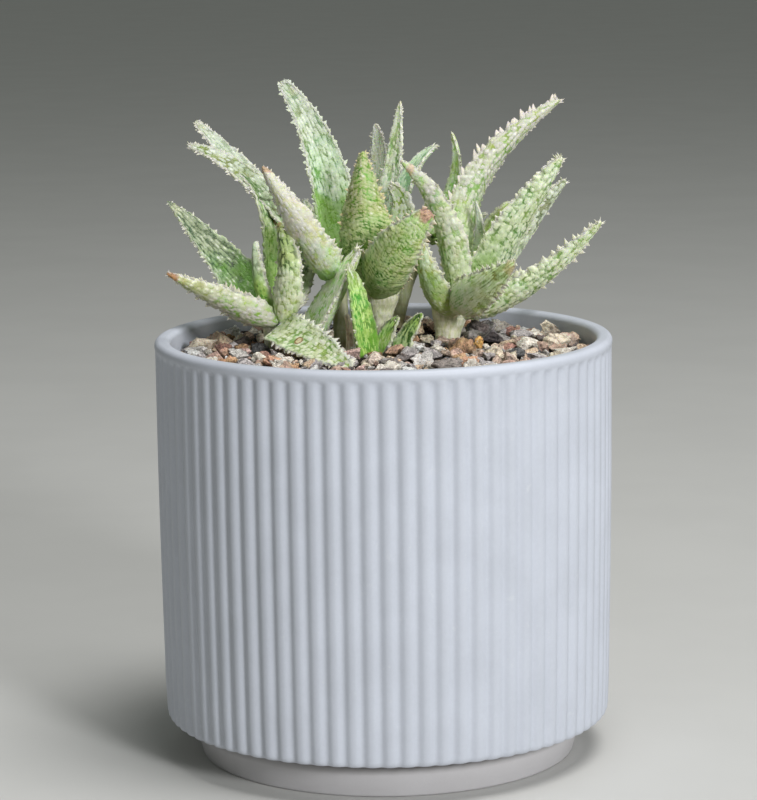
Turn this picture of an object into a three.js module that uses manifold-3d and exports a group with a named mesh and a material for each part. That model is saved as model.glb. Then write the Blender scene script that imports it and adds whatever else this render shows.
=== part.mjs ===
// A clump of dwarf aloe in a fluted ceramic planter. Millimetres, +Z up.
// The origin is the middle of the foot, on the surface that the pot stands on.
import * as THREE from "three";
import { ConvexGeometry } from "three/addons/geometries/ConvexGeometry.js";
import { mergeVertices } from "three/addons/utils/BufferGeometryUtils.js";
import Module from "manifold-3d";

const wasm = await Module();
wasm.setup();

// Driving dimensions of the pot.
const RIM_RADIUS = 63.5;
const POT_HEIGHT = 117;
const RIM_BAND = 2.6;
const WALL = 4.5;
const FLOOR = 6.5;
const FOOT_HEIGHT = 10.5;
const FOOT_RADIUS = 52.6;
const FOOT_FLARE = 2.4;
const FOOT_CHAMFER = 0.6;
const FOOT_RECESS = 1.5;
const FOOT_RING_WIDTH = 6;
const FOOT_WALL = 5;
const LIP_INSET = 2.3;
const CORNER_HEIGHT = 2;
const CORNER_INSET = 1;
const CORNER_RIB_SHARE = 0.6;
const HOLLOW_CORNER = 3.5;
const RIB_COUNT = 80;
const RIB_DEPTH = 0.75;
const RIB_CREST = 63.2;
const RIB_FADE = 1.2;
const RIB_TURN = 0.0087;
const BODY_BOTTOM_RADIUS = 60.4;

// Soil and stones.
const SOIL_TOP = 111.8;
const SOIL_RIPPLE = 0.5;
const MOUND_HEIGHT = 2.6;
const MOUND_AT = new THREE.Vector2(3, 24);
const MOUND_SPREAD = 17;
const GRIT_COUNT = 26;
const GRIT_ROUGHNESS = 0.9;
const STONE_CORNERS = 10;

// Leaves. Shares are of a leaf's length along it, and of its half width across it.
const WIDEST_AT = 0.2;
const LAST_RING_AT = 0.97;
const BLUNT_SHARE = 0.14;
const CHANNEL_SHARE = 0.14;
const KEEL_SHARE = 0.62;
const KEEL_LEAST = 0.35;
const KEEL_COLUMNS = [-0.62, 0, 0.62];
const TOOTH_SPACING = 4.8;
const TOOTH_HEIGHT = 1.5;
const MARGIN_THICKNESS = 0.7;
const BUMP = 0.3;

// Stems.
const STEM_SIDES = 8;
const STEM_STEPS = 7;
const SCAR_DEPTH = 0.25;
const FOOT_SWELL = 0.25;

// Room left between neighbouring pieces.
const GAP = 0.3;

const TURN = 2 * Math.PI;
const GOLDEN_TURN = 2.39996;

// A small seeded random source, so that every build is the same.
function seeded(seed) {
  let state = seed >>> 0;
  return () => {
    state = (state + 0x6d2b79f5) >>> 0;
    let mixed = Math.imul(state ^ (state >>> 15), state | 1);
    mixed ^= mixed + Math.imul(mixed ^ (mixed >>> 7), mixed | 61);
    return ((mixed ^ (mixed >>> 14)) >>> 0) / 4294967296;
  };
}

// Solids.

function solidOfGeometry(geometry) {
  const bare = geometry.clone();
  bare.deleteAttribute("normal");
  bare.deleteAttribute("uv");
  const merged = mergeVertices(bare, 1e-4);
  return new wasm.Manifold(
    new wasm.Mesh({
      numProp: 3,
      vertProperties: new Float32Array(merged.attributes.position.array),
      triVerts: new Uint32Array(merged.index.array),
    }),
  );
}

function geometryOfSolid(solid) {
  const mesh = solid.getMesh();
  const geometry = new THREE.BufferGeometry();
  geometry.setAttribute("position", new THREE.BufferAttribute(mesh.vertProperties, 3));
  geometry.setIndex(new THREE.BufferAttribute(mesh.triVerts, 1));
  geometry.computeVertexNormals();
  return geometry;
}

// The largest body of a solid: what a cut leaves behind as loose scraps is dropped.
function largestBody(solid) {
  const bodies = solid.decompose();
  return bodies.reduce((best, body) => (body.volume() > best.volume() ? body : best));
}

// A closed skin over rings of points, drawn to a point at each end. A spike [ring, column, apex]
// raises a pyramid on the patch between that ring and the next, and that column and the next.
function loft(rings, first, last, spikes = []) {
  const size = rings[0].length;
  const points = rings.flat().concat([first, last]);
  const firstIndex = points.length - 2;
  const lastIndex = points.length - 1;
  const raised = new Map(spikes.map(([ring, column, apex]) => [ring * size + column, apex]));
  const faces = [];
  for (let ring = 0; ring + 1 < rings.length; ring++) {
    for (let column = 0; column < size; column++) {
      const next = (column + 1) % size;
      const a = ring * size + column;
      const b = ring * size + next;
      const c = (ring + 1) * size + next;
      const d = (ring + 1) * size + column;
      const apex = raised.get(a);
      if (apex) {
        const tip = points.push(apex) - 1;
        faces.push([a, b, tip], [b, c, tip], [c, d, tip], [d, a, tip]);
      } else {
        faces.push([a, b, c], [a, c, d]);
      }
    }
  }
  const end = (rings.length - 1) * size;
  for (let column = 0; column < size; column++) {
    const next = (column + 1) % size;
    faces.push([firstIndex, next, column]);
    faces.push([lastIndex, end + column, end + next]);
  }
  const vertProperties = new Float32Array(points.flatMap((point) => point.toArray()));
  const build = (list) =>
    new wasm.Manifold(new wasm.Mesh({ numProp: 3, vertProperties, triVerts: new Uint32Array(list.flat()) }));
  const solid = build(faces);
  return solid.volume() > 0 ? solid : build(faces.map(([a, b, c]) => [a, c, b]));
}

function lathe(profile, segments) {
  const points = profile.map(([radius, height]) => new THREE.Vector2(radius, height));
  const geometry = new THREE.LatheGeometry(points, segments).rotateX(Math.PI / 2);
  const solid = solidOfGeometry(geometry);
  return solid.volume() > 0 ? solid : lathe([...profile].reverse(), segments);
}

// The pot: fluted wall, smooth rim band with a rounded lip, foot with a shallow recess, hollow.

function flutedBody() {
  const columnsPerRib = 3;
  const columns = RIB_COUNT * columnsPerRib;
  const bandBottom = POT_HEIGHT - RIM_BAND;
  // Height, crest radius and share of the full rib depth.
  const rows = [
    [FOOT_HEIGHT, BODY_BOTTOM_RADIUS, CORNER_RIB_SHARE],
    [FOOT_HEIGHT + CORNER_HEIGHT, RIB_CREST - CORNER_INSET, 1],
    [bandBottom - RIB_FADE, RIB_CREST, 1],
    [bandBottom + 0.4, RIB_CREST, 0.1],
  ];
  const rings = rows.map(([height, crest, share]) =>
    Array.from({ length: columns }, (_, column) => {
      const angle = (TURN * column) / columns + RIB_TURN;
      const groove = 0.5 - 0.5 * Math.cos((TURN * column) / columnsPerRib);
      const radius = crest - RIB_DEPTH * share * groove;
      return new THREE.Vector3(radius * Math.cos(angle), radius * Math.sin(angle), height);
    }),
  );
  const middle = (height) => new THREE.Vector3(0, 0, height);
  return loft(rings, middle(rows[0][0]), middle(rows[rows.length - 1][0]));
}

// Radius and height of the hollow's lower corners, drawn in by an inset: the hollow steps in at the foot.
function hollowCorners(inset) {
  const inner = RIM_RADIUS - WALL;
  const step = FOOT_HEIGHT + HOLLOW_CORNER;
  return [
    [FOOT_RADIUS - FOOT_WALL - inset, FLOOR + inset],
    [FOOT_RADIUS + FOOT_FLARE - FOOT_WALL - inset, step + inset],
    [inner - HOLLOW_CORNER - inset, step + WALL + inset],
    [inner - inset, step + 2 * WALL + inset],
  ];
}

function pot() {
  const segments = RIB_COUNT;
  const inner = RIM_RADIUS - WALL;
  const lip = RIM_RADIUS - LIP_INSET;
  const foot = lathe(
    [
      [0, 0],
      [FOOT_RADIUS - FOOT_CHAMFER, 0],
      [FOOT_RADIUS, FOOT_CHAMFER],
      [FOOT_RADIUS + FOOT_FLARE, FOOT_HEIGHT + 0.5],
      [0, FOOT_HEIGHT + 0.5],
    ],
    segments,
  );
  const rim = lathe(
    [
      [0, POT_HEIGHT - RIM_BAND],
      [RIM_RADIUS - 0.3, POT_HEIGHT - RIM_BAND],
      [RIM_RADIUS, POT_HEIGHT - RIM_BAND + 0.4],
      [RIM_RADIUS, POT_HEIGHT - 1.6],
      [RIM_RADIUS - 0.7, POT_HEIGHT - 0.4],
      [lip, POT_HEIGHT],
      [0, POT_HEIGHT],
    ],
    segments,
  );
  const hollow = lathe(
    [
      [0, FLOOR],
      ...hollowCorners(0),
      [inner, POT_HEIGHT - 1.8],
      [inner + 0.7, POT_HEIGHT - 0.5],
      [lip, POT_HEIGHT + 0.001],
      [lip, POT_HEIGHT + 5],
      [0, POT_HEIGHT + 5],
    ],
    segments,
  );
  const recess = lathe(
    [
      [0, -1],
      [FOOT_RADIUS - FOOT_RING_WIDTH, -1],
      [FOOT_RADIUS - FOOT_RING_WIDTH - FOOT_RECESS, FOOT_RECESS],
      [0, FOOT_RECESS],
    ],
    segments / 2,
  );
  return flutedBody().add(foot).add(rim).subtract(hollow).subtract(recess);
}

// Soil level at a place.
function soilHeight(x, y) {
  const distance = Math.hypot(x - MOUND_AT.x, y - MOUND_AT.y);
  const mound = MOUND_HEIGHT * Math.exp(-((distance / MOUND_SPREAD) ** 2));
  const ripple = SOIL_RIPPLE * Math.sin(x * 0.31 + 1) * Math.cos(y * 0.27);
  return SOIL_TOP + mound + ripple;
}

// A chipped stone: the convex hull of points scattered over an ellipsoid.
function stone(centre, size, turn, seed, grow = 0) {
  const random = seeded(seed);
  const axis = new THREE.Vector3(0, 0, 1);
  const points = Array.from({ length: STONE_CORNERS }, (_, index) => {
    const height = 1 - (2 * (index + 0.5)) / STONE_CORNERS;
    const angle = index * GOLDEN_TURN + 0.6 * random();
    const around = Math.sqrt(1 - height * height);
    const reach = 0.85 + 0.3 * random();
    return new THREE.Vector3(
      Math.cos(angle) * around * reach * (size[0] / 2 + grow),
      Math.sin(angle) * around * reach * (size[1] / 2 + grow),
      height * reach * (size[2] / 2 + grow),
    )
      .applyAxisAngle(axis, THREE.MathUtils.degToRad(turn))
      .add(centre);
  });
  return solidOfGeometry(new ConvexGeometry(points));
}

// The soil plug with its rippled top, before the grit is added.
function soilPlug() {
  const segments = 32;
  const radius = RIM_RADIUS - WALL - 2 * GAP;
  const bottom = FLOOR + GAP;
  const flat = (share, height) =>
    Array.from({ length: segments }, (_, index) => {
      const angle = (TURN * (index + 0.5)) / segments;
      return new THREE.Vector3(share * Math.cos(angle), share * Math.sin(angle), height);
    });
  const random = seeded(12);
  const rough = () => GRIT_ROUGHNESS * (2 * random() - 1);
  const draped = (reach) =>
    flat(reach, 0).map((point) => point.setZ(soilHeight(point.x, point.y) + rough()));
  const rings = hollowCorners(GAP).map(([reach, height]) => flat(reach - GAP, height));
  for (const reach of [radius, radius - 7, radius - 15, radius - 24, radius - 34, radius - 46]) {
    rings.push(draped(reach));
  }
  return loft(rings, new THREE.Vector3(0, 0, bottom), new THREE.Vector3(0, 0, soilHeight(0, 0)));
}

// Grit stones on the soil, sunk well in, by a spiral with seeded offsets.
function grit() {
  const random = seeded(41);
  const stones = [];
  const reach = RIM_RADIUS - WALL - 4.5;
  for (let index = 0; index < GRIT_COUNT; index++) {
    const radius = reach * Math.sqrt((index + 0.5) / GRIT_COUNT);
    const angle = index * GOLDEN_TURN + 0.5 * random();
    const x = radius * Math.cos(angle);
    const y = radius * Math.sin(angle);
    const length = 5.5 + 3.5 * random() ** 2;
    const size = [length, length * (0.65 + 0.3 * random()), 3.6 + 1.4 * random()];
    const centre = new THREE.Vector3(x, y, soilHeight(x, y) + 0.3);
    stones.push(stone(centre, size, 360 * random(), 100 + index));
  }
  return stones;
}

// A stem: rings round a gently bent line, with leaf scars, a wider foot and a flared, domed crown.
function stem({ foot, crown, radius, lean, flare }, grow = 0) {
  const start = new THREE.Vector3(...foot);
  const end = new THREE.Vector3(...crown);
  const control = start.clone().add(end).multiplyScalar(0.5).add(new THREE.Vector3(...lean));
  const line = new THREE.QuadraticBezierCurve3(start, control, end);
  const rings = [];
  for (let step = 0; step <= STEM_STEPS; step++) {
    const along = step / STEM_STEPS;
    const tangent = line.getTangent(along);
    const side = new THREE.Vector3(0, 1, 0).cross(tangent).normalize();
    const front = tangent.clone().cross(side);
    const scar = step % 2 ? SCAR_DEPTH : 0;
    const dome = step === STEM_STEPS ? 0.7 : 1;
    const swell = 1 + FOOT_SWELL * (1 - along) ** 2 + flare * THREE.MathUtils.smoothstep(along, 0.5, 1);
    const reach = (radius * swell + scar) * dome + grow;
    rings.push(
      Array.from({ length: STEM_SIDES }, (_, index) => {
        const angle = (TURN * index) / STEM_SIDES;
        return line
          .getPoint(along)
          .addScaledVector(side, reach * Math.cos(angle))
          .addScaledVector(front, reach * Math.sin(angle));
      }),
    );
  }
  const below = start.clone().addScaledVector(line.getTangent(0), -grow);
  const above = end.clone().addScaledVector(line.getTangent(1), 0.3 * radius + grow);
  return loft(rings, below, above);
}

// A leaf: plano-convex, channelled above and keeled below, with warty faces and a row of
// forward-pointing teeth on each margin. Its line runs from root through middle to tip, its
// upper face looks up and back to the crown, and roll turns it about that line, in degrees.
function leaf({ root, middle, tip, width, taper, roll, base = 0.5, seed }, grow = 0) {
  const random = seeded(seed);
  const start = new THREE.Vector3(...root);
  const end = new THREE.Vector3(...tip);
  const control = new THREE.Vector3(...middle)
    .multiplyScalar(2)
    .addScaledVector(start, -0.5)
    .addScaledVector(end, -0.5);
  const line = new THREE.QuadraticBezierCurve3(start, control, end);
  const steps = Math.max(4, Math.round(line.getLength() / TOOTH_SPACING));
  const heading = Math.atan2(end.y - start.y, end.x - start.x);
  const level = new THREE.Vector3(-Math.sin(heading), Math.cos(heading), 0);
  const edge = MARGIN_THICKNESS / 2 + grow;
  const rings = [];
  const spikes = [];
  const frames = [];
  for (let step = 0; step <= steps; step++) {
    const along = (LAST_RING_AT * step) / steps;
    const tangent = line.getTangent(along);
    const side = level.clone().addScaledVector(tangent, -level.dot(tangent)).normalize();
    side.applyAxisAngle(tangent, THREE.MathUtils.degToRad(roll));
    const normal = tangent.clone().cross(side);
    const beyond = Math.max(0, (along - WIDEST_AT) / (1 - WIDEST_AT));
    const ahead = BLUNT_SHARE + (1 - BLUNT_SHARE) * (1 - beyond ** taper);
    const share = along < WIDEST_AT ? base + ((1 - base) * along) / WIDEST_AT : ahead;
    const reach = (width * share) / 2;
    const channel = CHANNEL_SHARE * reach;
    const keel = KEEL_LEAST + KEEL_SHARE * reach;
    const bump = BUMP * Math.min(1, reach / 4);
    const centre = line.getPoint(along);
    const place = (across, height) =>
      centre
        .clone()
        .addScaledVector(side, across)
        .addScaledVector(normal, height);
    const wart = (column) => ((step + column) % 2 ? bump : -0.4 * bump);
    const upper = place(0, edge - channel + wart(0));
    const lower = KEEL_COLUMNS.map((across, column) =>
      place(across * (reach + grow), -edge - keel * (1 - across ** 2) - wart(column)),
    );
    rings.push([
      place(reach + grow, edge),
      upper,
      place(-reach - grow, edge),
      place(-reach - grow, -edge),
      ...lower,
      place(reach + grow, -edge),
    ]);
    frames.push({ centre, tangent, side, reach: reach + grow });
  }
  const marginColumns = [
    [2, -1],
    [7, 1],
  ];
  for (let step = steps > 6 ? 2 : 1; step < steps; step++) {
    for (const [column, sign] of marginColumns) {
      const before = frames[step];
      const after = frames[step + 1];
      const height = TOOTH_HEIGHT * (0.65 + 0.6 * random()) * Math.min(1, 0.45 + before.reach / 6);
      const apex = before.centre
        .clone()
        .lerp(after.centre, 0.72)
        .addScaledVector(before.side, sign * (0.35 * before.reach + 0.65 * after.reach + height));
      spikes.push([step, column, apex]);
    }
  }
  const below = start.clone().addScaledVector(line.getTangent(0), -grow);
  const beyondTip = end.clone().addScaledVector(line.getTangent(1), grow);
  return loft(rings, below, beyondTip, spikes);
}

// Where each stem stands, how it leans to its crown, and how far it flares into its leaves.
function upright(foot, crown, radius, lean, flare) {
  return { foot, crown, radius, lean, flare };
}

const stems = {
  left_stem: upright([-30.5, 7, 105.5], [-30, 5, 122], 2.6, [0, 1, 0], 0.4),
  rear_left_stem: upright([-11.8, 6, 105.5], [-12, 13, 134.5], 1.8, [0, -1, 0], 0.3),
  centre_stem: upright([-1.2, 18, 105.5], [-0.2, 17, 131], 2.1, [0, 0, 0], 1.3),
  rear_centre_stem: upright([1.5, 28, 105.5], [12.5, 34, 142], 2, [-2.5, 0, 0], 0.2),
  right_stem: upright([18, 17, 105.5], [20.2, 18, 125.5], 2.8, [-1, 0, 0], 1),
};

// Every leaf by its root, middle and tip, its width, how convexly it tapers, and its roll.
function place(root, middle, tip, width, taper, roll, base) {
  return { root, middle, tip, width, taper, roll, base };
}

const leaves = {
  // Left rosette.
  left_leaf_broad: place([-31.5, 8, 121.5], [-46.8, 16, 139.2], [-60.5, 22, 152.5], 13, 1.3, -35),
  left_leaf_low: place([-29.5, 3, 120.5], [-44.5, -3, 128.4], [-59, -8, 136], 8.8, 1.5, 60),
  left_leaf_curved: place([-28.5, 3, 121], [-25.5, -1, 135.5], [-28.5, 4, 148], 8.5, 1.8, 150),
  left_leaf_inner: place([-31, 6, 122], [-34, 5, 133.5], [-35, 8, 142.5], 5.5, 1.6, 65),
  left_leaf_tall: place([-31.5, 10, 122], [-31, 18, 148.5], [-43.5, 28, 162], 8.5, 1.7, 5),
  left_leaf_front: place([-29.5, 0, 120], [-19, -14, 116.5], [-8.5, -30, 112.5], 11, 1.6, 40, 0.9),
  left_leaf_rear: place([-31.5, 9.5, 120], [-37.5, 22, 126], [-43.5, 38, 130.5], 9, 1.6, 0),
  left_leaf_behind: place([-29, 8.5, 120], [-23, 19, 130], [-20, 30, 137], 8, 1.6, 0),
  // Rear-left rosette.
  rear_left_leaf_big: place([-12, 9, 130.5], [-22.6, 0, 148.4], [-32.7, 2, 164], 9.7, 1.6, 65),
  rear_left_leaf_tall: place([-10.5, 15, 132.5], [-16.2, 27, 163.5], [-28.2, 34, 185], 12.4, 1.7, -20),
  rear_left_leaf_lower: place([-14, 12, 132], [-35.5, 23, 157], [-55, 31, 167.5], 7.5, 2, -25),
  rear_left_leaf_upper: place([-12.5, 15.5, 133.5], [-34.2, 34, 154.5], [-53.4, 44, 173.2], 8.8, 2, -20),
  rear_left_leaf_rear: place([-12, 15.5, 130.5], [-17, 31, 140], [-22.5, 42, 150.5], 8, 1.6, 0),
  rear_left_leaf_behind: place([-10.5, 14.5, 130], [-4, 29, 139], [2, 42, 147.5], 8, 1.6, 0),
  // Centre rosette.
  centre_leaf_front: place([-2, 15.5, 130.5], [-4.5, 9, 148], [-5, 11, 167], 16.8, 1.4, 30, 0.7),
  centre_leaf_wide: place([-1.5, 13.5, 128.5], [4.5, -4, 142], [13.5, -12, 152.5], 14, 1.7, -45, 0.7),
  centre_leaf_cream: place([0, 16, 131.5], [6, 13, 148], [2, 14, 157.5], 10, 1.6, 105),
  centre_leaf_slim: place([-0.5, 19.5, 132], [3.1, 29, 159.5], [5.7, 35, 179], 8.8, 1.2, -15),
  centre_leaf_blunt: place([-2.5, 20, 130.5], [-0.5, 35, 155], [-1.5, 42, 172], 8, 2.2, -30),
  centre_leaf_blue: place([1, 18, 131], [5.8, 23, 155.2], [15.8, 29, 166.8], 8.4, 1.6, 5),
  // Rear-centre rosette, on the dark leaning stem.
  rear_centre_leaf_small: place([14, 36, 140.5], [21, 42, 155], [20.4, 46, 169], 6.6, 1.3, -15),
  rear_centre_leaf_rear: place([13, 36, 140], [5, 45, 147], [-2, 51, 153], 7.5, 1.6, 0),
  rear_centre_leaf_low: place([14, 36, 139], [23.5, 45, 143], [30.5, 52, 144.5], 7.5, 1.6, 0),
  // Right rosette.
  right_leaf_long: place([22, 21.5, 126.5], [25.8, 31, 154.7], [51.6, 42, 178.3], 9.6, 1.9, -100),
  right_leaf_left: place([21.5, 18, 124.5], [17.7, 14, 147.7], [5.5, 10, 164.5], 9, 2, 30),
  right_leaf_front: place([20, 12, 123.3], [28, -4, 130.6], [36, -12, 138.4], 11.4, 1.6, -70),
  right_leaf_small: place([20, 15, 121], [14, 7, 131], [11, 6, 143], 9.5, 1.8, 10),
  right_leaf_low: place([20, 17, 120.5], [41, 13, 129.5], [61, 8, 147], 9.5, 1.5, -55),
  right_leaf_young: place([24, 19, 125.5], [27.5, 21, 139.5], [26.5, 20, 151.5], 4.5, 1.2, 45),
  right_leaf_bumpy: place([23.5, 18, 124], [38, 17, 147.5], [50.5, 15, 164.5], 11.5, 1.8, -50),
  right_leaf_under: place([24, 21, 122], [39.8, 27, 142.3], [52.4, 30, 156.5], 9, 1.5, -70),
  right_leaf_olive: place([23, 22, 123.5], [31, 38, 141.5], [41, 44, 149], 9, 1.6, -80),
  right_leaf_rear: place([22.5, 22, 121], [35.5, 33, 127], [46.5, 42, 129], 8.5, 1.6, 0),
  right_leaf_behind: place([21, 22, 121], [20.5, 34, 128], [18.5, 46, 134.5], 8, 1.6, 0),
  // Pups, rooted in the soil in front.
  pup_leaf_upright: place([-3.4, -5, 108], [-6.2, -6, 126], [-9.5, -4, 137.5], 8.2, 1.5, -35, 0.7),
  pup_leaf_folded: place([-26, 1, 109], [-15.2, 1, 128], [-6.5, 2, 141], 12.4, 1.9, 20),
  pup_leaf_toothed: place([-2, -2, 110], [1.2, -2, 118], [4.4, -1, 122.2], 6, 1.5, 35),
  pup_leaf_small: place([3.2, 0, 110.5], [7.2, 0, 118], [11, 0, 122.8], 5, 1.8, 60),
};

// A dry brown bract beside the upright pup.
const bract = place([-8.5, 2, 108.5], [-8.5, 2.5, 116.5], [-10, 3, 122.5], 4.5, 1.8, 20);

// The larger stones: middle, size and turn about the vertical.
const stones = {
  front_stone: { centre: [-2.5, -16.5, 112.6], size: [10, 8, 4.6], turn: 5 },
  grey_stone: { centre: [13, -12.5, 112.8], size: [10.5, 7, 5], turn: -15 },
  red_stone: { centre: [3.5, -10, 113.6], size: [5, 5, 5], turn: 30 },
  dark_stone: { centre: [30.5, 12, 114], size: [7.5, 6, 6], turn: 20 },
  black_stone: { centre: [27.5, 25.5, 114], size: [7.5, 6, 6], turn: 70 },
  amber_stone: { centre: [26.5, 5, 113.2], size: [3.4, 4.5, 4.6], turn: 10 },
  pale_stone: { centre: [49, 4.5, 113.4], size: [10.5, 6.5, 5], turn: 0 },
  cream_stone: { centre: [47.5, 25, 114.4], size: [5, 6, 5.5], turn: 35 },
  orange_chip: { centre: [-29, -21.5, 113.2], size: [8.5, 6, 4], turn: -10 },
};

// Colours, roughness.
const CERAMIC = { color: 0xd2d8de, roughness: 0.6, metalness: 0 };
const SOIL = { color: 0x7d6a5c, roughness: 0.95, metalness: 0 };
const STEM = { color: 0xa9a878, roughness: 0.7, metalness: 0 };
const LEAF = { color: 0xb4c99a, roughness: 0.5, metalness: 0 };
const PUP = { color: 0x86b45a, roughness: 0.5, metalness: 0 };
const DRY = { color: 0x8a5a44, roughness: 0.8, metalness: 0 };
const ROCK = { color: 0xa39a92, roughness: 0.9, metalness: 0 };

const group = new THREE.Group();
const placed = [];

function addMesh(name, solid, finish) {
  const mesh = new THREE.Mesh(geometryOfSolid(solid), new THREE.MeshStandardMaterial(finish));
  mesh.name = name;
  group.add(mesh);
}

// Adds a piece, cut back wherever it would come closer than the gap to an earlier one.
function addPiece(name, make, finish) {
  let solid = make(0);
  for (const earlier of placed) {
    solid = solid.subtract(earlier);
  }
  addMesh(name, largestBody(solid), finish);
  placed.push(make(GAP));
}

addMesh("pot", pot(), CERAMIC);

for (const [name, shape] of Object.entries(stems)) {
  addPiece(name, (grow) => stem(shape, grow), STEM);
}
Object.entries(leaves).forEach(([name, shape], index) => {
  const finish = name.startsWith("pup") ? PUP : LEAF;
  addPiece(name, (grow) => leaf({ ...shape, seed: 7 + index }, grow), finish);
});
addPiece("dry_bract", (grow) => leaf({ ...bract, seed: 5 }, grow), DRY);
Object.entries(stones).forEach(([name, shape], index) => {
  const centre = new THREE.Vector3(...shape.centre);
  addPiece(name, (grow) => stone(centre, shape.size, shape.turn, 60 + index, grow), ROCK);
});

let soil = soilPlug();
for (const pebble of grit()) {
  soil = soil.add(pebble);
}
for (const piece of placed) {
  soil = soil.subtract(piece);
}
addMesh("soil", largestBody(soil), SOIL);

export default group;
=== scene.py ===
"""Looks of the potted aloe: fluted ceramic planter, gritty soil, five toothed and spotted rosettes.

Shapes are worked out in millimetres in the frame of the CAD part and turned into metres when a
mesh is made. Leaves, stems and stones repeat the CAD part's own lines, with fine relief.
"""

import math
from collections import namedtuple

import bmesh
import bpy
import numpy as np
from mathutils import Matrix, Vector


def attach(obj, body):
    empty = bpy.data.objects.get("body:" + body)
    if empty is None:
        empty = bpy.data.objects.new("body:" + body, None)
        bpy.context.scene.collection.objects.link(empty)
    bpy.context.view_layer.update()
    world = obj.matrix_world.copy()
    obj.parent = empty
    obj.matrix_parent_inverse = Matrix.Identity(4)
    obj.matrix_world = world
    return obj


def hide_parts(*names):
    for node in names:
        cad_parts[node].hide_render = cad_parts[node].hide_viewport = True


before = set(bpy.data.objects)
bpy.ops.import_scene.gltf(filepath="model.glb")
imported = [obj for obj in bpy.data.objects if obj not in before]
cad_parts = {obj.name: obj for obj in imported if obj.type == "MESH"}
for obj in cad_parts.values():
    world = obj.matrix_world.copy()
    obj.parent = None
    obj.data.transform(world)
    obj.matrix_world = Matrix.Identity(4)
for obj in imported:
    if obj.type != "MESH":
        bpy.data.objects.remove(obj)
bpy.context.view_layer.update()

MM = 0.001
TURN = 2 * math.pi

# -------------------- numbers and noise


def hashed(*keys):
    """A repeatable number from 0 to 1 for each set of whole-number keys."""
    mixed = np.zeros(np.broadcast(*keys).shape, np.uint64)
    for key in keys:
        whole = np.asarray(key).astype(np.int64).astype(np.uint64)
        mixed = mixed ^ (whole + np.uint64(0x9E3779B97F4A7C15))
        mixed = mixed * np.uint64(0xBF58476D1CE4E5B9)
        mixed = mixed ^ (mixed >> np.uint64(29))
        mixed = mixed * np.uint64(0x94D049BB133111EB)
        mixed = mixed ^ (mixed >> np.uint64(32))
    return (mixed >> np.uint64(40)).astype(float) / float(1 << 24)


def noise(points, size, seed):
    """Smooth noise from -1 to 1, with features of that size."""
    scaled = points / size
    cell = np.floor(scaled)
    part = scaled - cell
    part = part * part * (3 - 2 * part)
    total = np.zeros(len(points))
    for corner in np.ndindex(2, 2, 2):
        weight = np.prod(np.where(corner, part, 1 - part), axis=1)
        at = cell + corner
        total += weight * hashed(at[:, 0], at[:, 1], at[:, 2], seed)
    return 2 * total - 1


def smoothstep(low, high, value):
    """From 0 to 1 as the value goes from low to high, with soft ends."""
    share = np.clip((value - low) / (high - low), 0, 1)
    return share * share * (3 - 2 * share)


def unit(vectors):
    """The vectors, each made one long."""
    return vectors / np.linalg.norm(vectors, axis=-1, keepdims=True)


# -------------------- meshes


class Patch:
    """Points in millimetres, faces of three or four corners, and four numbers a point."""

    def __init__(self, points, faces, tones):
        self.points = points
        self.faces = faces
        self.tones = np.broadcast_to(tones, (len(points), 4))


def add_piece(name, patches, material, nodes=(), smooth=True):
    """Makes one object of the patches, which replaces the CAD nodes named."""
    starts = np.cumsum([0] + [len(patch.points) for patch in patches])
    points = np.concatenate([patch.points for patch in patches]) * MM
    tones = np.concatenate([patch.tones for patch in patches])
    corners, sizes = [], []
    for start, patch in zip(starts, patches):
        for faces in patch.faces:
            corners.append((faces + start).ravel())
            sizes.append(np.full(len(faces), faces.shape[1]))
    corners, sizes = np.concatenate(corners), np.concatenate(sizes)
    mesh = bpy.data.meshes.new(name)
    mesh.vertices.add(len(points))
    mesh.vertices.foreach_set("co", points.astype(np.float32).ravel())
    mesh.loops.add(len(corners))
    mesh.loops.foreach_set("vertex_index", corners.astype(np.int32))
    mesh.polygons.add(len(sizes))
    mesh.polygons.foreach_set("loop_start", (np.cumsum(sizes) - sizes).astype(np.int32))
    mesh.polygons.foreach_set("use_smooth", np.full(len(sizes), smooth))
    mesh.update(calc_edges=True)
    layer = mesh.attributes.new("tones", "FLOAT_COLOR", "POINT")
    layer.data.foreach_set("color", tones.astype(np.float32).ravel())
    mesh.materials.append(material)
    piece = bpy.data.objects.new(name, mesh)
    bpy.context.scene.collection.objects.link(piece)
    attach(piece, "root")
    if nodes:
        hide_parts(*nodes)
    return piece


def grid_faces(rows, columns, closed=True):
    """Faces of a grid of points, row by row. A closed grid joins each row's ends."""
    row, column = np.meshgrid(np.arange(rows - 1), np.arange(columns - (not closed)), indexing="ij")
    after = (column + 1) % columns
    corners = [row * columns + column, row * columns + after]
    corners += [(row + 1) * columns + after, (row + 1) * columns + column]
    return np.stack(corners, -1).reshape(-1, 4)


def fan_faces(start, columns, middle, flip):
    """Triangles from a ring of points to a middle point."""
    column = np.arange(columns)
    after = (column + 1) % columns
    ends = (after, column) if flip else (column, after)
    return np.stack([ends[0] + start, ends[1] + start, np.full(columns, middle)], -1)


# -------------------- materials


def linear(colour):
    """A hexadecimal screen colour as the linear colour that a shader takes."""
    parts = [int(colour[i : i + 2], 16) / 255 for i in (0, 2, 4)]
    parts = [c / 12.92 if c <= 0.04045 else ((c + 0.055) / 1.055) ** 2.4 for c in parts]
    return (*parts, 1)


GLOW_DEPTH = 1.3 * MM


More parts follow.
